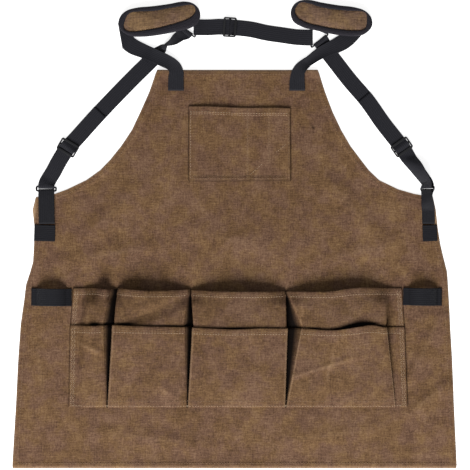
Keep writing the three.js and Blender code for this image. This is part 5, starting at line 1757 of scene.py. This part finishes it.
@dataclass
class ShoulderPad:
    """Padded canvas shoulder pad with a black tape bound round its rim."""

    side: Side
    place: PadPlace
    rim: float = 5.0
    crown: float = 2.2
    low_end: float = 3.5
    high_end: float = 7.0
    binding_width: float = 9.5
    binding: float = 1.0
    points: int = 120
    outline: tuple[tuple[float, float], ...] = (
        # along and aside as shares of the half length and half width, outer end to the left
        (-1.00, 0.00), (-0.93, 0.52), (-0.76, 0.86), (-0.50, 0.97), (-0.12, 0.93), (0.28, 0.93),
        (0.65, 0.96), (0.86, 0.76), (0.98, 0.36), (1.00, -0.12), (0.90, -0.62), (0.66, -0.88),
        (0.30, -0.97), (-0.10, -1.03), (-0.48, -0.99), (-0.78, -0.80), (-0.94, -0.42))
    windows: dict[Side, Heights] = by_side(
        # the canvas that shows inside the tape, given as the outline is
        ((-0.87, -0.28), (-0.80, 0.36), (-0.66, 0.68), (-0.14, 0.60), (0.45, 0.66), (0.79, 0.67),
         (0.89, 0.50), (0.90, 0.20), (0.77, -0.15), (0.49, -0.37), (-0.27, -0.61), (-0.80, -0.52)),
        ((-0.82, -0.38), (-0.85, 0.30), (-0.77, 0.72), (-0.24, 0.63), (0.29, 0.60), (0.57, 0.72),
         (0.80, 0.68), (0.91, 0.16), (0.82, -0.31), (0.62, -0.55), (-0.05, -0.67), (-0.49, -0.62)))

    def closed(self, table: Sequence[tuple[float, float]]) -> Points:
        """Smooth closed loop through a table, from the pad's middle."""
        corners = [np.array([-self.side.value * a * PAD_LENGTH / 2, b * PAD_WIDTH / 2]) for a, b in table]
        count = len(corners)
        way = Route([corners[k % count] for k in range(-2, count + 3)])
        first, last = [way.ways[ROUTE_STEPS * k] for k in (2, count + 2)]
        return way.at(np.linspace(first, last, 4 * self.points, endpoint=False))

    def loop(self, inset: float, shrink: float = 1.0) -> tuple[Points, Points]:
        """Loop from the rim in to the canvas window, and the height of the sloping base under it."""
        flip = -self.side.value
        rim = self.closed(self.outline)[::4]
        window = self.closed(self.windows[self.side])
        found, wanted = [np.arctan2(way[:, 1] / PAD_WIDTH, way[:, 0] / PAD_LENGTH) for way in (window, rim)]
        inner = np.column_stack([np.interp(wanted, found, column, period=2 * math.pi) for column in window.T])
        flat = (rim + (inner - rim) * (inset / self.binding_width)) * shrink
        base = self.low_end + (self.high_end - self.low_end) * (flip * flat[:, 0] / (PAD_LENGTH / 2) + 1) / 2
        angle = math.radians(self.place.turn)
        turned = flat @ np.array([[math.cos(angle), math.sin(angle)], [-math.sin(angle), math.cos(angle)]])
        return turned + (self.place.aside, PANEL_HEIGHT + self.place.rise), base

    def ring(self, inset: float, height: float, shrink: float = 1.0) -> Points:
        """Loop of points at a height over the base."""
        flat, base = self.loop(inset, shrink)
        return np.column_stack([flat, base + height])

    def build(self, finishes: Finishes) -> None:
        """Builds the padded body and its binding."""
        self.body(finishes)
        self.tape(finishes)

    def body(self, finishes: Finishes) -> None:
        """Crowned body, puckered where the tape holds its rim."""
        low = self.binding + CLEARANCE
        high = low + self.rim
        inset = self.binding + CLEARANCE
        rings = [self.ring(inset + 3, low, 0.5), self.ring(inset + 1, low), self.ring(inset, low + 1.2),
                 self.ring(inset, high - 1.2), self.ring(inset + 1, high)]
        for step in range(0, 18):
            share = step / 18
            rise = self.crown * (1 - (1 - share) ** 2.2)
            ring = self.ring(self.binding_width - 0.8, high + rise, 1 - 0.92 * share)
            turn = np.arange(self.points) / self.points
            pucker = 0.28 * np.sin(turn * 2 * math.pi * 34 + 1.3 * np.sin(turn * 31)) * np.exp(-share * 4)
            soft = 0.35 * ripple(ring[:, 0], ring[:, 1], 40 + self.side.value, 46) * min(1, share * 2)
            ring[:, 2] += pucker + soft - 0.3 * (1 - share)
            rings.append(ring)
        centre_low = np.mean(rings[0], axis=0)
        centre_high = np.mean(rings[-1], axis=0)
        count = self.points
        points = np.concatenate([centre_low[None], *rings, centre_high[None]])
        faces: list[tuple[int, ...]] = []
        for k in range(count):
            nxt = (k + 1) % count
            faces.append((0, 1 + nxt, 1 + k))
            for number in range(len(rings) - 1):
                a, b = 1 + number * count, 1 + (number + 1) * count
                faces.append((a + k, a + nxt, b + nxt, b + k))
            top = 1 + (len(rings) - 1) * count
            faces.append((top + k, top + nxt, len(points) - 1))
        piece = make_piece(f"pad_cushion_{self.side.word}", points, faces, finishes.pad)
        face_out(piece)
        dress(piece, Slot.PAD, f"shoulder_pad_{self.side.word}")

    def tape(self, finishes: Finishes) -> None:
        """Tape folded over the rim, plump on top, with a slightly uneven inner edge."""
        low, high = self.binding, self.binding + self.rim + 2 * CLEARANCE
        top = high + self.binding
        width = self.binding_width
        section = [
            (width, high), (width / 2, high + 0.1), (self.binding + 0.4, high), (self.binding, high - 0.8),
            (self.binding, low + 0.8), (self.binding + 0.4, low), (width / 2, low), (width, low),
            (width + 0.15, low / 2), (width, 0.0), (width / 2, 0.0), (2.0, 0.0), (0.6, 0.5), (0.0, 1.8),
            (0.0, top - 1.8), (0.6, top - 0.5), (2.0, top + 0.25), (width / 2, top + 0.7),
            (width - 2, top + 0.55), (width - 0.5, top + 0.25), (width + 0.15, high + 0.6)]
        upper_outside = 14
        turn = np.arange(self.points) / self.points
        rings = []
        for number, (inset, height) in enumerate(section):
            ring = self.ring(inset, height)
            wave = 0.25 * np.sin(turn * 2 * math.pi * 9 + 2 * np.sin(turn * 12.6)) * (inset / width) ** 2
            centre = np.array([self.place.aside, PANEL_HEIGHT + self.place.rise])
            ring[:, :2] += unit(centre - ring[:, :2]) * wave[:, None]
            if number >= upper_outside:
                ring[:, 2] += 0.12 * np.sin(turn * 2 * math.pi * 40)
            rings.append(ring)
        size, count = len(section), self.points
        points = np.stack(rings, axis=1).reshape(-1, 3)
        faces = [(k * size + j, k * size + (j + 1) % size, ((k + 1) % count) * size + (j + 1) % size,
                  ((k + 1) % count) * size + j) for k in range(count) for j in range(size)]
        rim = rings[upper_outside]
        ways = ways_along(rim)
        across = ways_along(np.array(section))
        uv = np.array([(way, off) for way in ways for off in across])
        piece = make_piece(f"pad_tape_{self.side.word}", points, faces, finishes.binding, uv=uv)
        face_out(piece)
        dress(piece, Slot.BINDING, f"pad_binding_{self.side.word}")


# Hammer loops


@dataclass
class HammerLoops:
    """Webbing loops that stand off the panel between the side hems and the waist pockets."""

    proud: float = 13.0
    inset: float = 10.0
    foot: float = 8.0
    width: float = 27.5

    def build(self, panel: BodyPanel, pockets: WaistPockets, finishes: Finishes) -> None:
        """Builds both loops."""
        for side in Side:
            y = pockets.foot + pockets.upper_height + 1.2 - WEBBING_WIDTH / 2
            seam = pockets.seams[0] if side is Side.LEFT else pockets.seams[-1]
            low_edge = np.array([y - WEBBING_WIDTH / 2 - pockets.foot])
            inner = float(pockets.seam_at(seam, low_edge)[0][0]) + side.value * 2 * CLEARANCE
            outer = float(panel.edge_at(side, y)) - side.value * self.inset
            span = abs(outer - inner) - 2 * self.foot
            ground = HEM_TOP + WEBBING_THICKNESS / 2 + 0.6
            shares = np.linspace(0, 1, 27)
            arch = [(self.foot + share * span, ground + self.proud * math.sin(share * math.pi) ** 0.6)
                    for share in shares]
            table = [(0, ground), (self.foot / 2, ground), *arch, (abs(outer - inner), ground)]
            stations = [Station(np.array([outer - side.value * way, y + side.value * 0.012 * way, z]))
                        for way, z in table]
            Strap(f"tool_loop_{side.word}", width=self.width).build(
                stations, finishes.shaded_webbing, f"hammer_loop_{side.word}")


# Stage


@dataclass(frozen=True)
class Studio:
    """Pale floor, soft light from the hem's side and a camera straight above, as in the photo."""

    picture: int = 470
    scale: float = 1.58
    middle: tuple[float, float] = (234.5, 467.5)
    camera_height: float = 2400.0
    floor_size: float = 6.0

    def build(self) -> None:
        """Sets the floor, which is lit from below as a light table is, the lights and the camera."""
        bpy.ops.mesh.primitive_plane_add(size=self.floor_size, location=(0, 0, -0.0003))
        floor = bpy.context.active_object
        floor.name = "floor"
        paper = Shading("pale_floor")
        shader = paper.shader
        shader.inputs["Base Color"].default_value = linear("#fbfbfa")
        shader.inputs["Roughness"].default_value = 0.9
        shader.inputs["Emission Color"].default_value = linear("#ffffff")
        shader.inputs["Emission Strength"].default_value = 0.72
        floor.data.materials.append(paper.material)
        self.lamp("key_light", (-0.5, -3.3, 2.4), 2.3, 290.0)
        world = bpy.data.worlds.new("studio")
        bpy.context.scene.world = world
        world.use_nodes = True
        background = world.node_tree.nodes["Background"]
        background.inputs["Color"].default_value = linear("#ffffff")
        background.inputs["Strength"].default_value = 0.3
        bpy.context.scene.view_settings.view_transform = "Standard"
        self.camera()

    @staticmethod
    def lamp(name: str, place: tuple[float, float, float], size: float, power: float) -> None:
        """Adds a soft square light that points at the apron."""
        light = bpy.data.lights.new(name, "AREA")
        light.size = size
        light.energy = power
        lamp = put(name, light)
        lamp.location = place
        lamp.rotation_euler = (-Vector(place)).to_track_quat("-Z", "Y").to_euler()

    def camera(self) -> None:
        """Puts a long lens straight above the middle of the picture."""
        lens = bpy.data.cameras.new("camera")
        lens.sensor_width = 36.0
        lens.lens = 36.0 * self.camera_height / (self.picture * self.scale)
        camera = put("camera", lens)
        x = (self.picture / 2 - self.middle[0]) * self.scale
        y = (self.middle[1] - self.picture / 2) * self.scale + frame_offset()
        camera.location = (x * MM, y * MM, self.camera_height * MM)
        bpy.context.scene.camera = camera


def main() -> None:
    """Builds the dressed apron in order."""
    logging.basicConfig(level=logging.INFO, format="%(message)s")
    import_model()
    bpy.ops.object.select_all(action="DESELECT")
    Studio().build()
    finishes = Finishes()
    panel = BodyPanel()
    panel.build(finishes)
    pockets = WaistPockets()
    pockets.build(panel, finishes)
    BibPocket().build(panel, finishes)
    HammerLoops().build(panel, pockets, finishes)
    harness = Harness()
    harness.build(panel, finishes)
    for side, place in harness.pads.items():
        ShoulderPad(side, place).build(finishes)
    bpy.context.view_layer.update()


if __name__ == "__main__":
    main()
